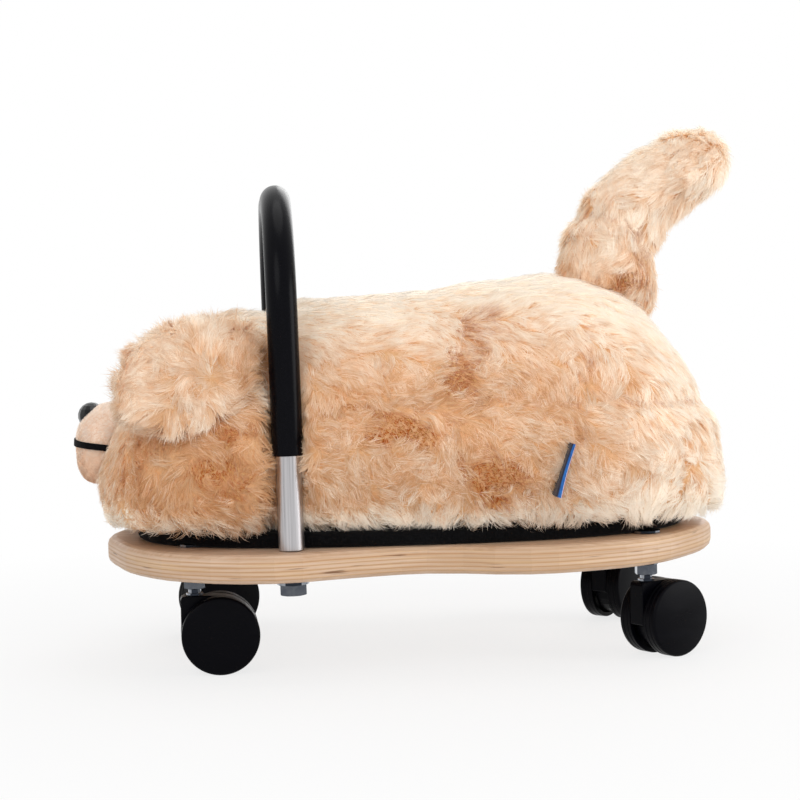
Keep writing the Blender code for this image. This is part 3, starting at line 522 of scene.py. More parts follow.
def bridge(mesh, strip, closed=False):
    """Quads between each line of points in the strip and the next."""
    for near, far in zip(strip, strip[1:]):
        for i in range(len(near) if closed else len(near) - 1):
            j = (i + 1) % len(near)
            mesh.faces.new((near[i], near[j], far[j], far[i]))


def rounded(name, mesh, placing, finish, sharp):
    """The object that a bmesh makes once it is in place: smooth, but for edges sharper than the angle."""
    bmesh.ops.recalc_face_normals(mesh, faces=mesh.faces)
    data = bpy.data.meshes.new(name)
    mesh.to_mesh(data)
    mesh.free()
    data.transform(placing)
    data.materials.append(finish)
    data.shade_smooth()
    data.set_sharp_from_angle(angle=math.radians(sharp))
    return add_object(name, data)


# Handle: the CAD's centre line, swept with enough sides to look round

HANDLE_FOOT = Vector((-0.0837, 0, 0.0803861))
HANDLE_RAKE = math.radians(1.06)
HANDLE_RISE = 0.2185
HANDLE_HALF_SPREAD = 0.111
HANDLE_BEND_RADIUS = 0.075
HANDLE_BEND_STEPS = 24
HANDLE_SIDES = 40
LEG_START = 0.0005
GRIP_START = 0.059
TUBE_RADIUS = 0.0080
TUBE_BORE = 0.0065
GRIP_RADIUS = 0.0096
GRIP_BORE = 0.0083
LIP = 0.0004


def handle_line(start):
    """The centre line in the handle's own raked frame, from one leg over the arch to the other."""
    middle = (HANDLE_HALF_SPREAD - HANDLE_BEND_RADIUS, HANDLE_RISE - HANDLE_BEND_RADIUS)
    right = [(HANDLE_HALF_SPREAD, start)]
    for step in range(HANDLE_BEND_STEPS + 1):
        turn = math.pi / 2 * step / HANDLE_BEND_STEPS
        out, up = HANDLE_BEND_RADIUS * math.cos(turn), HANDLE_BEND_RADIUS * math.sin(turn)
        right.append((middle[0] + out, middle[1] + up))
    return right + [(-y, z) for y, z in reversed(right)]


def swept(name, node, start, radius, bore, finish):
    """A round tube along the handle's line, open along its bore, with softened ends."""
    line = handle_line(start)
    rings = [(line[0], 0.0, bore), (line[0], 0.0, radius - LIP), (line[0], LIP, radius)]
    rings += [(point, 0.0, radius) for point in line[1:-1]]
    rings += [(line[-1], LIP, radius), (line[-1], 0.0, radius - LIP), (line[-1], 0.0, bore)]
    mesh = bmesh.new()
    loops = []
    for i, ((y, z), rise, size) in enumerate(rings):
        before = rings[max(i - 1, 0)][0]
        after = rings[min(i + 1, len(rings) - 1)][0]
        heading = Vector((0, after[0] - before[0], after[1] - before[1]))
        heading = heading.normalized() if heading.length > LIP else Vector((0, 0, 1 if y > 0 else -1))
        across = Vector((0, -heading.z, heading.y))
        loop = []
        for side in range(HANDLE_SIDES):
            turn = 2 * math.pi * side / HANDLE_SIDES
            out = Vector((math.cos(turn), 0, 0)) + across * math.sin(turn)
            loop.append(mesh.verts.new(Vector((0, y, z + rise)) + out * size))
        loops.append(loop)
    bridge(mesh, loops, closed=True)
    raked = Matrix.Translation(HANDLE_FOOT) @ Matrix.Rotation(-HANDLE_RAKE, 4, "Y")
    piece = rounded(name, mesh, raked, finish, sharp=40)
    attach(piece, ROOT)
    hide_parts(node)


# Wheels: the CAD's cups, turned with enough steps to look round, with a domed face and grooved tread

CASTER_X = 0.1447
CASTER_Y = 0.0737
CASTER_TRAIL = 0.0155
CASTER_TURNS = {"front_left": 2, "front_right": 30, "rear_left": 33, "rear_right": 50}
AXLE_HEIGHT = 0.024786
WHEEL_STEPS = 96
WHEEL_RADIUS = 0.02475
WHEEL_OUTER = 0.0173
WHEEL_INNER = 0.0060
WHEEL_DOME = 0.0015
WHEEL_DOME_POWER = 2.4
WHEEL_DOME_STEPS = 8
WHEEL_EDGE = 0.0019
WHEEL_EDGE_STEPS = 5
WHEEL_RIM = 0.0220
WHEEL_FLOOR = 0.0142
WHEEL_POCKET = 0.0145
HUB_RADIUS = 0.0068
AXLE_BORE = 0.0033
GROOVE_PLACES = (0.25, 0.7)
GROOVE_WIDTH = 0.0005
GROOVE_DEPTH = 0.0003
WELD_REACH = 0.000005


def wheel_outline():
    """Radius and height of the cup's outline, from the middle of its face round to the axle's pocket."""
    shoulder = WHEEL_OUTER - WHEEL_DOME
    flat = WHEEL_RADIUS - WHEEL_EDGE
    outline = []
    for step in range(WHEEL_DOME_STEPS):
        share = step / WHEEL_DOME_STEPS
        outline.append((flat * share, WHEEL_OUTER - WHEEL_DOME * share**WHEEL_DOME_POWER))
    for step in range(WHEEL_EDGE_STEPS + 1):
        turn = math.pi / 2 * (1 - step / WHEEL_EDGE_STEPS)
        outline.append((flat + WHEEL_EDGE * math.cos(turn), shoulder - WHEEL_EDGE * (1 - math.sin(turn))))
    tread = shoulder - WHEEL_EDGE - WHEEL_INNER
    for share in GROOVE_PLACES:
        groove = shoulder - WHEEL_EDGE - tread * share
        outline += [
            (WHEEL_RADIUS, groove + GROOVE_WIDTH),
            (WHEEL_RADIUS - GROOVE_DEPTH, groove + GROOVE_WIDTH / 2),
            (WHEEL_RADIUS - GROOVE_DEPTH, groove - GROOVE_WIDTH / 2),
            (WHEEL_RADIUS, groove - GROOVE_WIDTH),
        ]
    return outline + [
        (WHEEL_RADIUS, WHEEL_INNER + GROOVE_DEPTH), (WHEEL_RADIUS - GROOVE_DEPTH, WHEEL_INNER),
        (WHEEL_RIM, WHEEL_INNER), (WHEEL_RIM, WHEEL_FLOOR), (HUB_RADIUS, WHEEL_FLOOR),
        (HUB_RADIUS, WHEEL_INNER), (AXLE_BORE, WHEEL_INNER), (AXLE_BORE, WHEEL_POCKET), (0, WHEEL_POCKET),
    ]


def make_wheels(finish):
    for caster, turn in CASTER_TURNS.items():
        x = CASTER_X if "rear" in caster else -CASTER_X
        y = CASTER_Y if "right" in caster else -CASTER_Y
        swivel = Matrix.Translation((x, y, 0)) @ Matrix.Rotation(math.radians(turn), 4, "Z")
        axle = swivel @ Matrix.Translation((CASTER_TRAIL, 0, AXLE_HEIGHT))
        for side, tip in (("left", 1), ("right", -1)):
            mesh = bmesh.new()
            line = [mesh.verts.new((radius, 0, height)) for radius, height in wheel_outline()]
            edges = [mesh.edges.new(pair) for pair in zip(line, line[1:])]
            about = {"axis": (0, 0, 1), "cent": (0, 0, 0), "angle": 2 * math.pi, "steps": WHEEL_STEPS}
            bmesh.ops.spin(mesh, geom=line + edges, **about)
            bmesh.ops.remove_doubles(mesh, verts=mesh.verts, dist=WELD_REACH)
            upright = axle @ Matrix.Rotation(math.pi / 2 * tip, 4, "X")
            piece = rounded(f"cup_{side}_{caster}", mesh, upright, finish, sharp=30)
            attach(piece, f"wheel_{side}_{caster}")
            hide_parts(f"wheel_{side}_{caster}")


# Side tag: a ribbon folded into a loop that opens a little towards its foot

TAG_PLACE = Vector((0.0845, -0.112, 0.1271))
TAG_LEAN = math.radians(17)
TAG_LENGTH = 0.034
TAG_DEPTH = 0.0218
TAG_RIBBON = 0.0005
TAG_FOLD_TOP = 0.0009
TAG_FOLD_FOOT = 0.0016
TAG_FOLD_POWER = 0.7
TAG_BOW = 0.0006
TAG_ROWS = 16
TAG_LEAF_STEPS = 4
TAG_FOLD_STEPS = 10


def tag_row(fold, reach):
    """One side of the loop seen from above: out along one leaf, round the fold and back."""
    row = [(fold, -reach * step / TAG_LEAF_STEPS) for step in range(TAG_LEAF_STEPS)]
    for step in range(TAG_FOLD_STEPS + 1):
        turn = math.pi * step / TAG_FOLD_STEPS
        row.append((fold * math.cos(turn), -reach - fold * math.sin(turn)))
    return row + [(-fold, -reach * step / TAG_LEAF_STEPS) for step in reversed(range(TAG_LEAF_STEPS))]


def make_tag(finish):
    mesh = bmesh.new()
    across = mesh.verts.layers.float.new("across")
    inside = mesh.verts.layers.float.new("inside")
    sheets = []
    for inner in (0, 1):
        rows = []
        for level in range(TAG_ROWS + 1):
            share = level / TAG_ROWS
            height = (share - 0.5) * TAG_LENGTH
            fold = TAG_FOLD_FOOT + (TAG_FOLD_TOP - TAG_FOLD_FOOT) * share**TAG_FOLD_POWER
            bow = TAG_BOW * math.sin(math.pi * share)
            reach = TAG_DEPTH - fold - TAG_RIBBON
            row = []
            for x, y in tag_row(fold + TAG_RIBBON * (1 - inner), reach):
                vert = mesh.verts.new((x + bow * y / TAG_DEPTH, y, height))
                vert[across] = x / (fold + TAG_RIBBON)
                vert[inside] = inner
                row.append(vert)
            rows.append(row)
        sheets.append(rows)
    edges = [[sheet[end] for sheet in sheets] for end in (0, -1)]
    edges += [[[row[end] for row in sheet] for sheet in sheets] for end in (0, -1)]
    for strip in sheets + edges:
        bridge(mesh, strip)
    leaning = Matrix.Translation(TAG_PLACE) @ Matrix.Rotation(TAG_LEAN, 4, "Y")
    piece = rounded("tag_loop", mesh, leaning, finish, sharp=50)
    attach(piece, ROOT)
    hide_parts("side_tag")


# Skins: the soft solids' forms, remeshed evenly, with their seams pressed in

def ramp(values, start, run):
    """0 up to the start, 1 from the end of the run on, and straight between. A run may lead downwards."""
    return np.clip((values - start) / run, 0, 1)


def ripple(points, scales):
    """Noise at each place: a coarse one, and a fine one half as strong."""
    coarse, fine = scales
    return np.array([noise.noise(Vector(p) * coarse) + noise.noise(Vector(p) * fine) / 2 for p in points])


def evaluated(thing):
    graph = bpy.context.evaluated_depsgraph_get()
    mesh = bpy.data.meshes.new_from_object(thing.evaluated_get(graph))
    bpy.data.objects.remove(thing, do_unlink=True)
    return mesh


def triples(rows, key, kind=float):
    values = np.empty(len(rows) * 3, kind)
    rows.foreach_get(key, values)
    return values.reshape(-1, 3)


def arrays_of(mesh):
    """The mesh's points, its points' normals and its triangles."""
    mesh.calc_loop_triangles()
    corners = triples(mesh.loop_triangles, "vertices", np.int64)
    return triples(mesh.vertices, "co"), triples(mesh.vertex_normals, "vector"), corners


def triangle_areas(points, corners):
    a, b, c = (points[corners[:, i]] for i in range(3))
    return np.linalg.norm(np.cross(b - a, c - a), axis=1) / 2


def remeshed(mesh, name, size, rounds):
    """The closed form in even squares of about the size, smoothed by some rounds."""
    blank = add_object(name, mesh)
    grid = blank.modifiers.new("grid", "REMESH")
    grid.mode = "VOXEL"
    grid.voxel_size = size
    even = blank.modifiers.new("even", "SMOOTH")
    even.iterations = rounds
    return evaluated(blank)


def seam_sink(points, seams):
    """How far each place is drawn in by the seams, as a share of the seams' depth."""
    sink = np.zeros(len(points))
    for seam in seams:
        away = distance_to_seam(points, seam)
        sink = np.maximum(sink, np.exp(-((away / CREASE_REACH) ** 2)))
    return sink


def stuffed(mesh, name, seams):
    """The form blown up by its stuffing as cloth, held at its seams and where it rests on the base."""
    points, _, _ = arrays_of(mesh)
    blank = add_object(name, mesh)
    held = blank.vertex_groups.new(name="held")
    floor = points[:, 2].min()
    hold = np.maximum(seam_sink(points, seams), np.clip(1 - (points[:, 2] - floor) / REST_BAND, 0, 1))
    for i, weight in enumerate(hold):
        if weight > HOLD_LEAST:
            held.add([i], float(weight), "REPLACE")
    cloth = blank.modifiers.new("stuffing", "CLOTH")
    for key, value in STUFFING.items():
        setattr(cloth.settings, key, value)
    cloth.settings.effector_weights.gravity = 0
    cloth.collision_settings.use_collision = False
    cloth.point_cache.frame_start = 1
    cloth.point_cache.frame_end = CLOTH_FRAMES
    for step in range(1, CLOTH_FRAMES + 1):
        bpy.context.scene.frame_set(step)
    blown = evaluated(blank)
    bpy.context.scene.frame_set(1)
    moved, _, _ = arrays_of(blown)
    shift = moved - points
    reach = np.linalg.norm(shift, axis=1, keepdims=True)
    moved = points + shift * np.minimum(1, STUFFING_CAP / np.maximum(reach, STUFFING_CAP * 0.01))
    blown.vertices.foreach_set("co", moved.ravel())
    blown.update()
    round_off = add_object(name, blown)
    round_off.modifiers.new("round_off", "SUBSURF").levels = 1
    return evaluated(round_off)


def reshaped(name, mesh, points, finish):
    """The object with its points moved and its finish put on."""
    mesh.vertices.foreach_set("co", points.ravel())
    mesh.update()
    mesh.materials.clear()
    mesh.materials.append(finish)
    mesh.shade_smooth()
    return add_object(name, mesh)


def make_skin(node, finish, seams=(), stand=SKIN_STAND):
    """A soft solid's cloth skin, stuffed, creased at its seams and a little uneven."""
    name = "skin_" + node.removeprefix("plush_")
    mesh = remeshed(NODES[node].data.copy(), name, SKIN_VOXEL, rounds=4)
    mesh = stuffed(mesh, name, seams)
    points, normals, _ = arrays_of(mesh)
    sink = seam_sink(points, seams) * CREASE_DEPTH
    wave = ripple(points, SKIN_RELIEF_SCALES) * SKIN_RELIEF
    points += normals * (stand + wave - sink)[:, None]
    skin = reshaped(name, mesh, points, finish)
    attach(skin, ROOT)
    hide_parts(node)
    return skin


def make_cover(finish):
    """The black cloth drawn over the cushion's base, with soft puckers round its edge."""
    name = "base_cover"
    mesh = remeshed(NODES["cushion_base"].data.copy(), name, COVER_VOXEL, rounds=2)
    points, normals, _ = arrays_of(mesh)
    heights = points[:, 2]
    upright = 1 - np.abs(normals[:, 2])
    rise = ramp(heights, heights.min(), COVER_RISE)
    turns = np.arctan2(points[:, 1], points[:, 0])
    round_edge, upward = PUCKER_SCALES
    pucker = np.array([noise.noise(Vector((t * round_edge, z * upward, 0))) for t, z in zip(turns, heights)])
    points += normals * (pucker * PUCKER_DEPTH * upright * rise)[:, None]
    cover = reshaped(name, mesh, points, finish)
    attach(cover, ROOT)
    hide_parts("cushion_base")


def distance_to_seam(points, seam):
    """The least distance in x and z from each point to a line of straight stretches."""
    points, path = points[:, (0, 2)], np.array(seam)
    best = np.full(len(points), np.inf)
    for start, stop in zip(path[:-1], path[1:]):
        along = stop - start
        share = np.clip(((points - start) @ along) / (along @ along), 0, 1)
        best = np.minimum(best, np.linalg.norm(points - start - share[:, None] * along, axis=1))
    return best


# Pile

def unit(vectors):
    return vectors / np.maximum(np.linalg.norm(vectors, axis=-1, keepdims=True), 1e-9)


def scatter(mesh, count, rng):
    """Places and normals spread evenly over a mesh."""
    points, normals, corners = arrays_of(mesh)
    areas = triangle_areas(points, corners)
    chosen = rng.choice(len(corners), count, p=areas / areas.sum())
    u = np.sqrt(rng.random(count))
    v = rng.random(count)
    shares = np.stack((1 - u, u * (1 - v), u * v), axis=1)[:, :, None]
    picked = corners[chosen]
    return (points[picked] * shares).sum(axis=1), unit((normals[picked] * shares).sum(axis=1))


def open_air(points, normals, trees, reach):
    """Which places have nothing of the other soft forms just above them."""
    free = np.ones(len(points), bool)
    for i, (point, normal) in enumerate(zip(points, normals)):
        start = Vector(point) + Vector(normal) * HIDDEN_START
        free[i] = all(tree.ray_cast(start, Vector(normal), reach)[0] is None for tree in trees)
    return free


def swirl(points, scale, seed):
    """A slow vector noise at each point."""
    shift = Vector((seed * 3.7, seed * 1.3, seed * 2.1))
    # Unseeded, the vector noise takes its seed from the clock
    noise.seed_set(SEED)
    return np.array([noise.noise_vector(Vector(p) * scale + shift) for p in points])


def nearest(points, centres):
    """For each point, which of the centres is nearest."""
    tree = kdtree.KDTree(len(centres))
    for i, centre in enumerate(centres):
        tree.insert(centre, i)
    tree.balance()
    return np.array([tree.find(p)[1] for p in points])


def paths_from(roots, normals, lie, length, lift, sway, fall):
    """A path for each root: up from the skin, over along its lie, swaying and sinking a little."""
    aside = np.cross(normals, lie) * sway[:, None]
    steps = STRAND_POINTS - 1
    paths = np.empty((len(roots), STRAND_POINTS, 3))
    paths[:, 0] = roots
    for step in range(steps):
        angle = lift * (1 - LIFT_LOST * step / max(steps - 1, 1))
        heading = normals * np.sin(angle)[:, None] + lie * np.cos(angle)[:, None]
        heading += aside * step / steps
        heading[:, 2] -= fall * (step + 1) / steps
        paths[:, step + 1] = paths[:, step] + unit(heading) * (length / steps)[:, None]
    return paths


def draw_together(paths, centres, near, share, power):
    """Each path pulled towards its owner's, by a share that grows from root to tip."""
    along = np.linspace(0, 1, STRAND_POINTS)[None, :, None] ** power * share
    return paths + (centres[near] - paths) * along


def strand_mesh(name, paths, normals, width, marks, rng):
    """Ribbons that taper to a point, each in its own cell of a UV map."""
    count = len(paths)
    pairs = STRAND_POINTS - 1
    along = np.gradient(paths, axis=1)
    roll = rng.uniform(-STRAND_ROLL, STRAND_ROLL, count)
    flat = unit(np.cross(along[:, 0], normals))
    facing = normals * np.cos(roll)[:, None] + flat * np.sin(roll)[:, None]
    side = unit(np.cross(along, facing[:, None, :]))
    taper = 1 - STRAND_TAPER * (np.arange(pairs) / pairs) ** 2
    half = side[:, :pairs] * (width[:, None] * taper)[:, :, None] / 2
    each = 2 * pairs + 1
    points = np.empty((count, each, 3))
    points[:, 0:-1:2] = paths[:, :pairs] - half
    points[:, 1:-1:2] = paths[:, :pairs] + half
    points[:, -1] = paths[:, -1]
    quads = [(2 * i, 2 * i + 1, 2 * i + 3, 2 * i + 2) for i in range(pairs - 1)]
    pattern = np.array([v for quad in quads for v in quad] + [each - 3, each - 2, each - 1])
    sizes = np.array([4] * (pairs - 1) + [3])
    loops = (np.arange(count)[:, None] * each + pattern).ravel()
    starts = np.concatenate(([0], np.cumsum(np.tile(sizes, count))[:-1]))
    mesh = bpy.data.meshes.new(name)
    mesh.vertices.add(count * each)
    mesh.vertices.foreach_set("co", points.ravel())
    mesh.loops.add(len(loops))
    mesh.loops.foreach_set("vertex_index", loops.astype(np.int32))
    mesh.polygons.add(count * pairs)
    mesh.polygons.foreach_set("loop_start", starts.astype(np.int32))
    mesh.update(calc_edges=True)
    mesh.shade_smooth()
    shading = unit(normals * SKIN_SHADING + facing * (1 - SKIN_SHADING))
    mesh.normals_split_custom_set_from_vertices(np.repeat(shading, each, axis=0))
    share = np.append(np.repeat(np.arange(pairs) / pairs, 2), 1.0)
    marks = {label: np.repeat(values, each) for label, values in marks.items()}
    marks["along"] = np.tile(share, count)
    for label, values in marks.items():
        layer = mesh.attributes.new(label, "FLOAT", "POINT")
        layer.data.foreach_set("value", values.astype(np.float32))
    columns = math.ceil(math.sqrt(count * CELL_TALLNESS))
    rows = math.ceil(count / columns)
    cell = np.arange(count)
    left = (cell % columns) / columns
    low = (cell // columns) / rows
    across = np.append(np.tile(CELL_SIDES, pairs), 0.5) / columns
    upward = (CELL_FOOT + CELL_RISE * share) / rows
    corners = np.stack((left[:, None] + across, low[:, None] + upward), axis=2).reshape(-1, 2)
    layer = mesh.uv_layers.new(name="OFBake")
    layer.uv.foreach_set("vector", corners[loops].astype(np.float32).ravel())
    return mesh


def warmth(points, patches, seams):
    """How strongly each place belongs to a warm parting or to a seam's line of painted shade, from 0 to 1.
    Some partings are painted shade too.
    """
    level = np.zeros(len(points))
    ragged = ripple(points, PARTING_SCALES) * PARTING_RAGGED
    for place, reach, share in patches:
        away = np.linalg.norm((points - place) / reach, axis=1)
        level = np.maximum(level, np.clip((PARTING_EDGE - away + ragged) * 2, 0, 1) * share)
    # Painted shade: a warm line along each seam's crease
    for seam in seams:
        away = distance_to_seam(points, seam) / SEAM_REACH
        level = np.maximum(level, np.clip(SEAM_EDGE - away + ragged, 0, 1) * SEAM_SHADE_WARMTH)
    return level


def facing_up(normals):
    """1 on top, 0 on the sides."""
    return np.clip(normals[:, 2] * 2 - 0.7, 0, 1)


def grow(
    name, skin, style, others, finish, count, length, width=STRAND_WIDTH, fall=0.0,
    patches=(), seams=(), locks=LOCKS, hidden=HIDDEN_REACH, contrast=1.0,
):
    """Pile on a skin. Strands are drawn into wisps, wisps into tufts and tufts into locks, and each takes its
    turn from its owner's. style gives at each place the lie, the lift from the skin, the share of the length,
    how wild the pile is and how peach."""
    rng = np.random.default_rng([SEED, len(name), count])
    roots, normals = scatter(skin.data, count, rng)
    free = open_air(roots, normals, others, hidden)
    free &= (roots[:, 2] > UNDERSIDE) | (normals[:, 2] > UNDERSIDE_SLOPE)
    roots, normals = roots[free], normals[free]

    def laid(chosen, turn, bend, kind):
        """Paths for some of the places, and how far each is turned from its style's lie."""
        points, up = roots[chosen], normals[chosen]
        lie, lift, share, wild, _ = style(points, up)
        lie = lie + swirl(points, SWIRL_SCALE, SWIRL_SEED) * wild[:, None]
        lie = unit(lie - up * (lie * up).sum(axis=1, keepdims=True))
        angle = (turn + rng.normal(0, bend, len(points))) * wild
        lie = lie * np.cos(angle)[:, None] + np.cross(up, lie) * np.sin(angle)[:, None]
        hot = warmth(points, patches, seams)
        hot *= hot
        rise = (lift + (PARTING_LIFT - lift) * hot) * rng.uniform(*LIFT_SPREAD, len(points))
        reach = length * share * rng.uniform(SHORTEST[kind], 1.0, len(points)) * (1 - PARTING_CUT * hot)
        reach *= 1 - SEAM_TRIM * seam_sink(points, seams)
        sway = swirl(points, SWAY_SCALE, SWAY_SEED)[:, 0] * SWAY
        return paths_from(points, up, lie, reach, rise, sway, fall), angle / wild

    points, _, corners = arrays_of(skin.data)
    area = triangle_areas(points, corners).sum() * len(roots) / count
    numbers = [min(max(int(area / spacing**2), FEWEST), len(roots)) for spacing in locks]
    lock, tuft, wisp = (rng.choice(len(roots), number, replace=False) for number in numbers)
    lock_paths, turn = laid(lock, 0.0, LOCK_TURN, "lock")
    owner = nearest(roots[tuft], roots[lock])
    tuft_paths, turn = laid(tuft, turn[owner], TUFT_TURN, "tuft")
    tuft_paths = draw_together(tuft_paths, lock_paths, owner, *TUFT_PULL)
    owner = nearest(roots[wisp], roots[tuft])
    wisp_paths, turn = laid(wisp, turn[owner], WISP_TURN, "wisp")
    wisp_paths = draw_together(wisp_paths, tuft_paths, owner, *WISP_PULL)
    own_wisp = nearest(roots, roots[wisp])
    own_tuft = owner[own_wisp]
    loose = rng.random(len(roots)) < LOOSE_SHARE
    bend = np.where(loose, LOOSE_TURN, STRAND_TURN)
    paths, _ = laid(slice(None), turn[own_wisp], bend, "strand")
    pull = np.where(loose, LOOSE_PULL, rng.uniform(*STRAND_PULL, len(roots)))
    paths = draw_together(paths, wisp_paths, own_wisp, pull[:, None, None], STRAND_PULL_POWER)

    # How each strand is coloured: by its wisp and tuft, by how far it stands from its wisp as painted shade
    # in the gaps between wisps, and by partings and seams, some of them painted shade
    lively = 1 - TOP_CALM * facing_up(normals)
    peach = style(roots, normals)[4] + rng.normal(0, WISP_PEACH, len(wisp))[own_wisp] * lively
    tint = rng.random(len(tuft))[own_tuft] * 0.45
    tint += rng.random(len(wisp))[own_wisp] * 0.3 + rng.random(len(roots)) * 0.25
    tint = MEAN_TINT + (tint - MEAN_TINT) * lively
    # Painted shade: the farther a strand stands from its wisp's centre, the deeper its colour, as shade
    # between wisps; contrast scales it, calmer on top and stronger low on the belly
    gap = np.linalg.norm(roots - roots[wisp][own_wisp], axis=1) / (locks[2] * GAP_SHADE_REACH)
    gap *= contrast * lively + BELLY_GAP_SHADE_SHARE * ramp(roots[:, 2], *BELLY_GAP_SHADE)
    warm = warmth(roots, patches, seams)
    doubt = rng.random(len(wisp))[own_wisp] * 0.75 + rng.random(len(roots)) * 0.25
    warm *= 0.6 + 0.4 * np.clip((warm - doubt) * 4 + 0.5, 0, 1)
    widths = width * rng.uniform(*WIDTH_SPREAD, len(roots))
    chunks = math.ceil(len(roots) / STRANDS_A_PIECE)
    order = np.argsort(roots[:, 0], kind="stable")
    for i, chunk in enumerate(np.array_split(order, chunks)):
        label = name if chunks == 1 else f"{name}_{i + 1}"
        marks = {"tint": tint[chunk], "warm": warm[chunk], "peach": peach[chunk], "gap": gap[chunk]}
        mesh = strand_mesh(label, paths[chunk], normals[chunk], widths[chunk], marks, rng)
        mesh.materials.append(finish)
        piece = add_object(label, mesh)
        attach(piece, ROOT)


def edge_share(points):
    """Shorter pile just above the base, so that the black band shows, but hanging lower here and there."""
    ragged = np.array([noise.noise(Vector((p[0], p[1], 0)) * 70) for p in points])
    return 1 - (0.24 + 0.45 * ragged) * ramp(points[:, 2], *BASE_EDGE)


def body_style(points, normals):
    """Back along the spine and lying close there; down the sides; outward and looser near the base."""
    side = np.clip(1.15 - normals[:, 2], 0, 1)
    top = facing_up(normals)
    low = ramp(points[:, 2], *BELLY)
    rear = ramp(points[:, 0], *RUMP)
    down = np.stack((np.full(len(points), 0.42), np.zeros(len(points)), -0.85 + 0.4 * low), axis=1)
    lie = (1 - side)[:, None] * (1.0, 0, -0.1) + side[:, None] * down
    wild = (0.28 + 0.62 * side + 0.35 * low) * (1 - 0.45 * rear)
    peach = np.clip((0.222 - points[:, 2]) / 0.08, -0.35, 0.5) * (1 - rear) - 0.1 * rear
    # Paler near the base: partly the pile's own pale tips, partly painted light standing in for light bounced
    # up from the board
    peach -= 0.3 * low + 0.8 * ramp(points[:, 2], *FRINGE)
    collar = np.exp(-((np.linalg.norm(points - TAIL_FOOT, axis=1) / TAIL_FOOT_REACH) ** 2))
    hump = top * ramp(points[:, 0], *HUMP)
    lift = np.radians(20 - 9 * top + 9 * hump + 16 * side * (1 - rear) + 14 * low + 26 * collar)
    share = edge_share(points) * (1 - 0.15 * side - 0.1 * top + 0.2 * hump)
    return lie, lift, share, wild * (1 - 0.35 * top), peach


def head_style(points, normals):
    """Away from the muzzle, back over the crown and down the cheeks."""
    x, z = points[:, 0], points[:, 2]
    low = ramp(z, *BELLY)
    behind_ear = ramp(x, *HEAD_BEHIND_EAR) * ramp(z, *HEAD_OVER_CHEEK)
    peach = 0.28 + 0.5 * ramp(z, *CHEEK)
    # Paler near the base: partly the pile's own pale tips, partly painted light standing in for light bounced
    # up from the board
    peach -= 0.45 * ramp(x, *HEAD_FRONT) + 0.4 * behind_ear + 0.9 * ramp(z, *FRINGE)
    lie = unit(points - HEAD_CENTRE) * 0.8 + (0.1, 0, -0.5)
    tucked = 1 - 0.5 * ramp(x, *JAW_FRONT) * ramp(z, *JAW)
    return lie, np.radians(32 + 20 * low), edge_share(points) * tucked, 0.8 + 0.4 * low, peach


def ear_style(points, normals):
    """Forward and down along the ear, out over its edge, and back to the handle behind its root."""
    rear = ramp(points[:, 0], *EAR_REAR)
    lie = (points - EAR_CENTRE) * (8, 0, 15) + (-0.5, 0, -0.2)
    lie[:, 0] += 1.1 * rear
    even = np.ones(len(points))
    return lie, np.radians(30 - 8 * rear), 1 + 0.4 * rear, even * 0.7, 0.16 + 0.25 * rear


def tail_style(points, normals):
    """From the tip down to the root."""
    even = np.ones(len(points))
    peach = 0.25 * ramp(points[:, 2], *TAIL_FOLD) + 0.02
    return normals * 0.2 - (0.6, 0, 0.8), even * math.radians(28), even, even * 0.6, peach


def muzzle_style(points, normals):
    """Away from the middle of its front, short and even, and warmer on the chin."""
    even = np.ones(len(points))
    peach = 1.5 * ramp(points[:, 2], *CHIN)
    return unit(points - MUZZLE_CENTRE), even * math.radians(35), even, even * 0.3, peach


# Seams as lines in x and z. Partings as a place, a reach along each axis and a share. Some partings are
# painted shade in the warm colour: the shadow lines under the ears and at an ear's root

SIDE_SEAM = (
    (-0.10, 0.166), (-0.033, 0.167), (0.007, 0.171), (0.013, 0.157),
    (0.020, 0.167), (0.043, 0.171), (0.101, 0.170), (0.21, 0.165),
)
BODY_SEAMS = (SIDE_SEAM, ((0.104, 0.215), (0.102, 0.170), (0.092, 0.145)))
BODY_PARTINGS = (
    ((-0.020, -0.122, 0.155), (0.018, 0.05, 0.012), 1.0),
    ((0.000, -0.122, 0.147), (0.012, 0.05, 0.009), 1.0),
    ((0.020, -0.118, 0.187), (0.011, 0.05, 0.015), 0.8),
    ((0.031, -0.112, 0.208), (0.010, 0.05, 0.014), 0.6),
    ((0.041, -0.108, 0.221), (0.009, 0.05, 0.010), 0.5),
    ((0.042, -0.122, 0.124), (0.022, 0.05, 0.015), 0.95),
    ((-0.044, -0.120, 0.169), (0.010, 0.05, 0.003), 1.0),
    ((0.010, 0.122, 0.150), (0.022, 0.05, 0.012), 1.0),
    ((0.060, 0.115, 0.186), (0.014, 0.05, 0.018), 0.8),
)
HEAD_PARTINGS_AND_SHADE = (
    ((-0.128, -0.112, 0.130), (0.017, 0.05, 0.015), 1.0),
    # painted shade: the shadow line under the left ear
    ((-0.121, -0.112, 0.157), (0.016, 0.05, 0.005), 0.8),
    ((-0.128, 0.112, 0.130), (0.017, 0.05, 0.015), 1.0),
    # painted shade: the shadow line under the right ear
    ((-0.106, 0.112, 0.168), (0.020, 0.05, 0.005), 1.0),
)
# painted shade at the ear's root, in the warm colour of a parting
EAR_PARTINGS_AND_SHADE = (((-0.112, 0.120, 0.184), (0.012, 0.05, 0.010), 1.0),)
TAIL_SEAMS = (((0.112, 0.288), (0.130, 0.289), (0.147, 0.284), (0.156, 0.273), (0.156, 0.259)),)
TAIL_PARTINGS = (
    ((0.143, -0.030, 0.244), (0.014, 0.03, 0.009), 0.9),
    ((0.126, -0.030, 0.246), (0.010, 0.03, 0.004), 0.7),
    ((0.155, -0.030, 0.266), (0.004, 0.03, 0.014), 0.5),
    ((0.150, 0.030, 0.240), (0.014, 0.02, 0.012), 0.9),
)


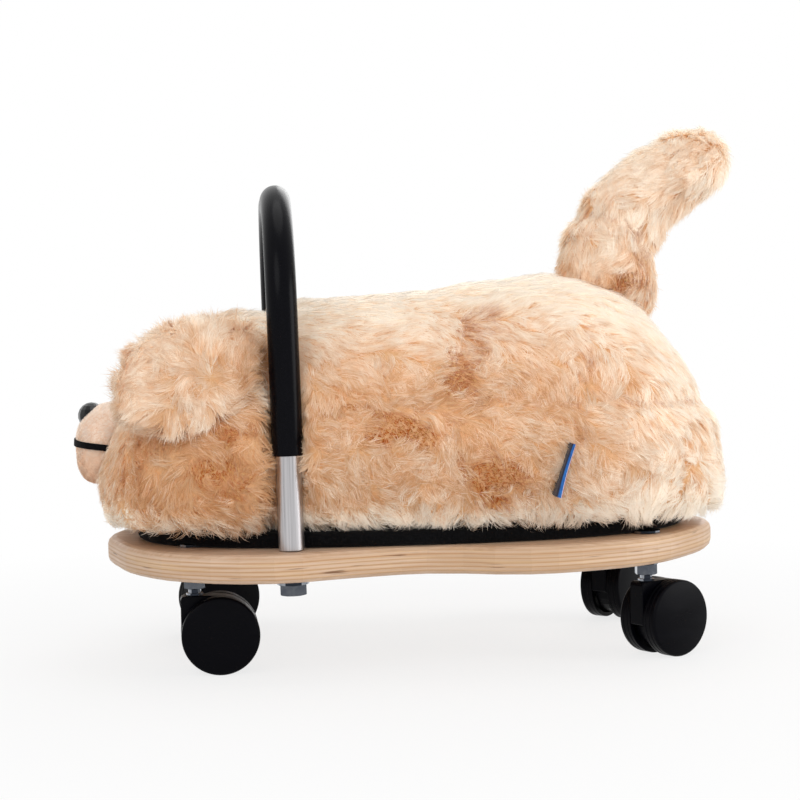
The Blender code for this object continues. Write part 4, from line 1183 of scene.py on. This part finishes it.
def make_plush():
    """Every skin first, then the pile on each, left out where another skin is close above."""
    long_pile = pile(
        "long_plush_pile", mottle=1.0, pale=srgb(252, 241, 226), peach=srgb(224, 180, 138),
        honey=srgb(198, 143, 94), root=srgb(236, 198, 158), warm=srgb(180, 90, 20),
    )
    short_pile = pile(
        "short_plush_pile", mottle=0.35, pale=srgb(250, 234, 220), peach=srgb(234, 204, 180),
        honey=srgb(214, 172, 140), root=srgb(240, 214, 190), warm=srgb(214, 164, 122),
    )
    long_backing = backing("long_plush_backing", srgb(226, 184, 140), srgb(214, 166, 120))
    short_backing = backing("short_plush_backing", srgb(238, 210, 186), srgb(228, 196, 170))
    skins = {
        "body": make_skin("plush_body", long_backing, BODY_SEAMS),
        "head": make_skin("plush_head", long_backing),
        "muzzle": make_skin("plush_muzzle", short_backing, stand=MUZZLE_STAND),
        "tail": make_skin("plush_tail", long_backing, TAIL_SEAMS),
        "ear_left": make_skin("ear_left", long_backing),
        "ear_right": make_skin("ear_right", long_backing),
    }
    trees = {}
    for part, skin in skins.items():
        points, _, corners = arrays_of(skin.data)
        trees[part] = BVHTree.FromPolygons(points.tolist(), corners.tolist())

    def cover(part, style, others, finish=long_pile, **looks):
        grow(f"pile_{part}", skins[part], style, [trees[name] for name in others], finish, **looks)

    cover("body", body_style, ("head", "tail"), count=270000, length=0.0185, fall=0.2, hidden=0.002,
          contrast=1.15, patches=BODY_PARTINGS, seams=BODY_SEAMS)
    cover("head", head_style, ("body", "ear_left", "ear_right", "muzzle"), count=100000, length=0.0165,
          fall=0.2, contrast=1.4, patches=HEAD_PARTINGS_AND_SHADE)
    cover("tail", tail_style, ("body",), count=44000, length=0.0180, fall=0.05, hidden=0.001,
          contrast=0.7, patches=TAIL_PARTINGS, seams=TAIL_SEAMS)
    for side in ("left", "right"):
        cover(f"ear_{side}", ear_style, ("head", "body"), count=28000, length=0.0175, fall=0.15,
              contrast=1.4, patches=EAR_PARTINGS_AND_SHADE)
    cover("muzzle", muzzle_style, ("head",), short_pile, count=50000, length=0.0026, width=0.00025,
          locks=(0.012, 0.005, 0.002))


def dress_frame():
    """A finish for each slot of the CAD's solids, and the rigid forms that are modelled again."""
    kinds = (plywood, black_nylon, zinc, aluminium, sleeve, black_fabric, black_gloss, blue_ribbon)
    finishes = {kind.__name__: kind() for kind in kinds}
    for part in frame["record"]["subparts"]:
        finish = finishes.get(part["material_slot"])
        if finish:
            mesh = NODES[part["node"]].data
            mesh.materials.clear()
            mesh.materials.append(finish)
    swept("tube", "handle_tube", LEG_START, TUBE_RADIUS, TUBE_BORE, finishes["aluminium"])
    swept("grip", "handle_grip", GRIP_START, GRIP_RADIUS, GRIP_BORE, finishes["sleeve"])
    make_wheels(finishes["black_nylon"])
    make_tag(finishes["blue_ribbon"])
    make_cover(finishes["black_fabric"])


place_camera()
make_studio()
dress_frame()
make_plush()
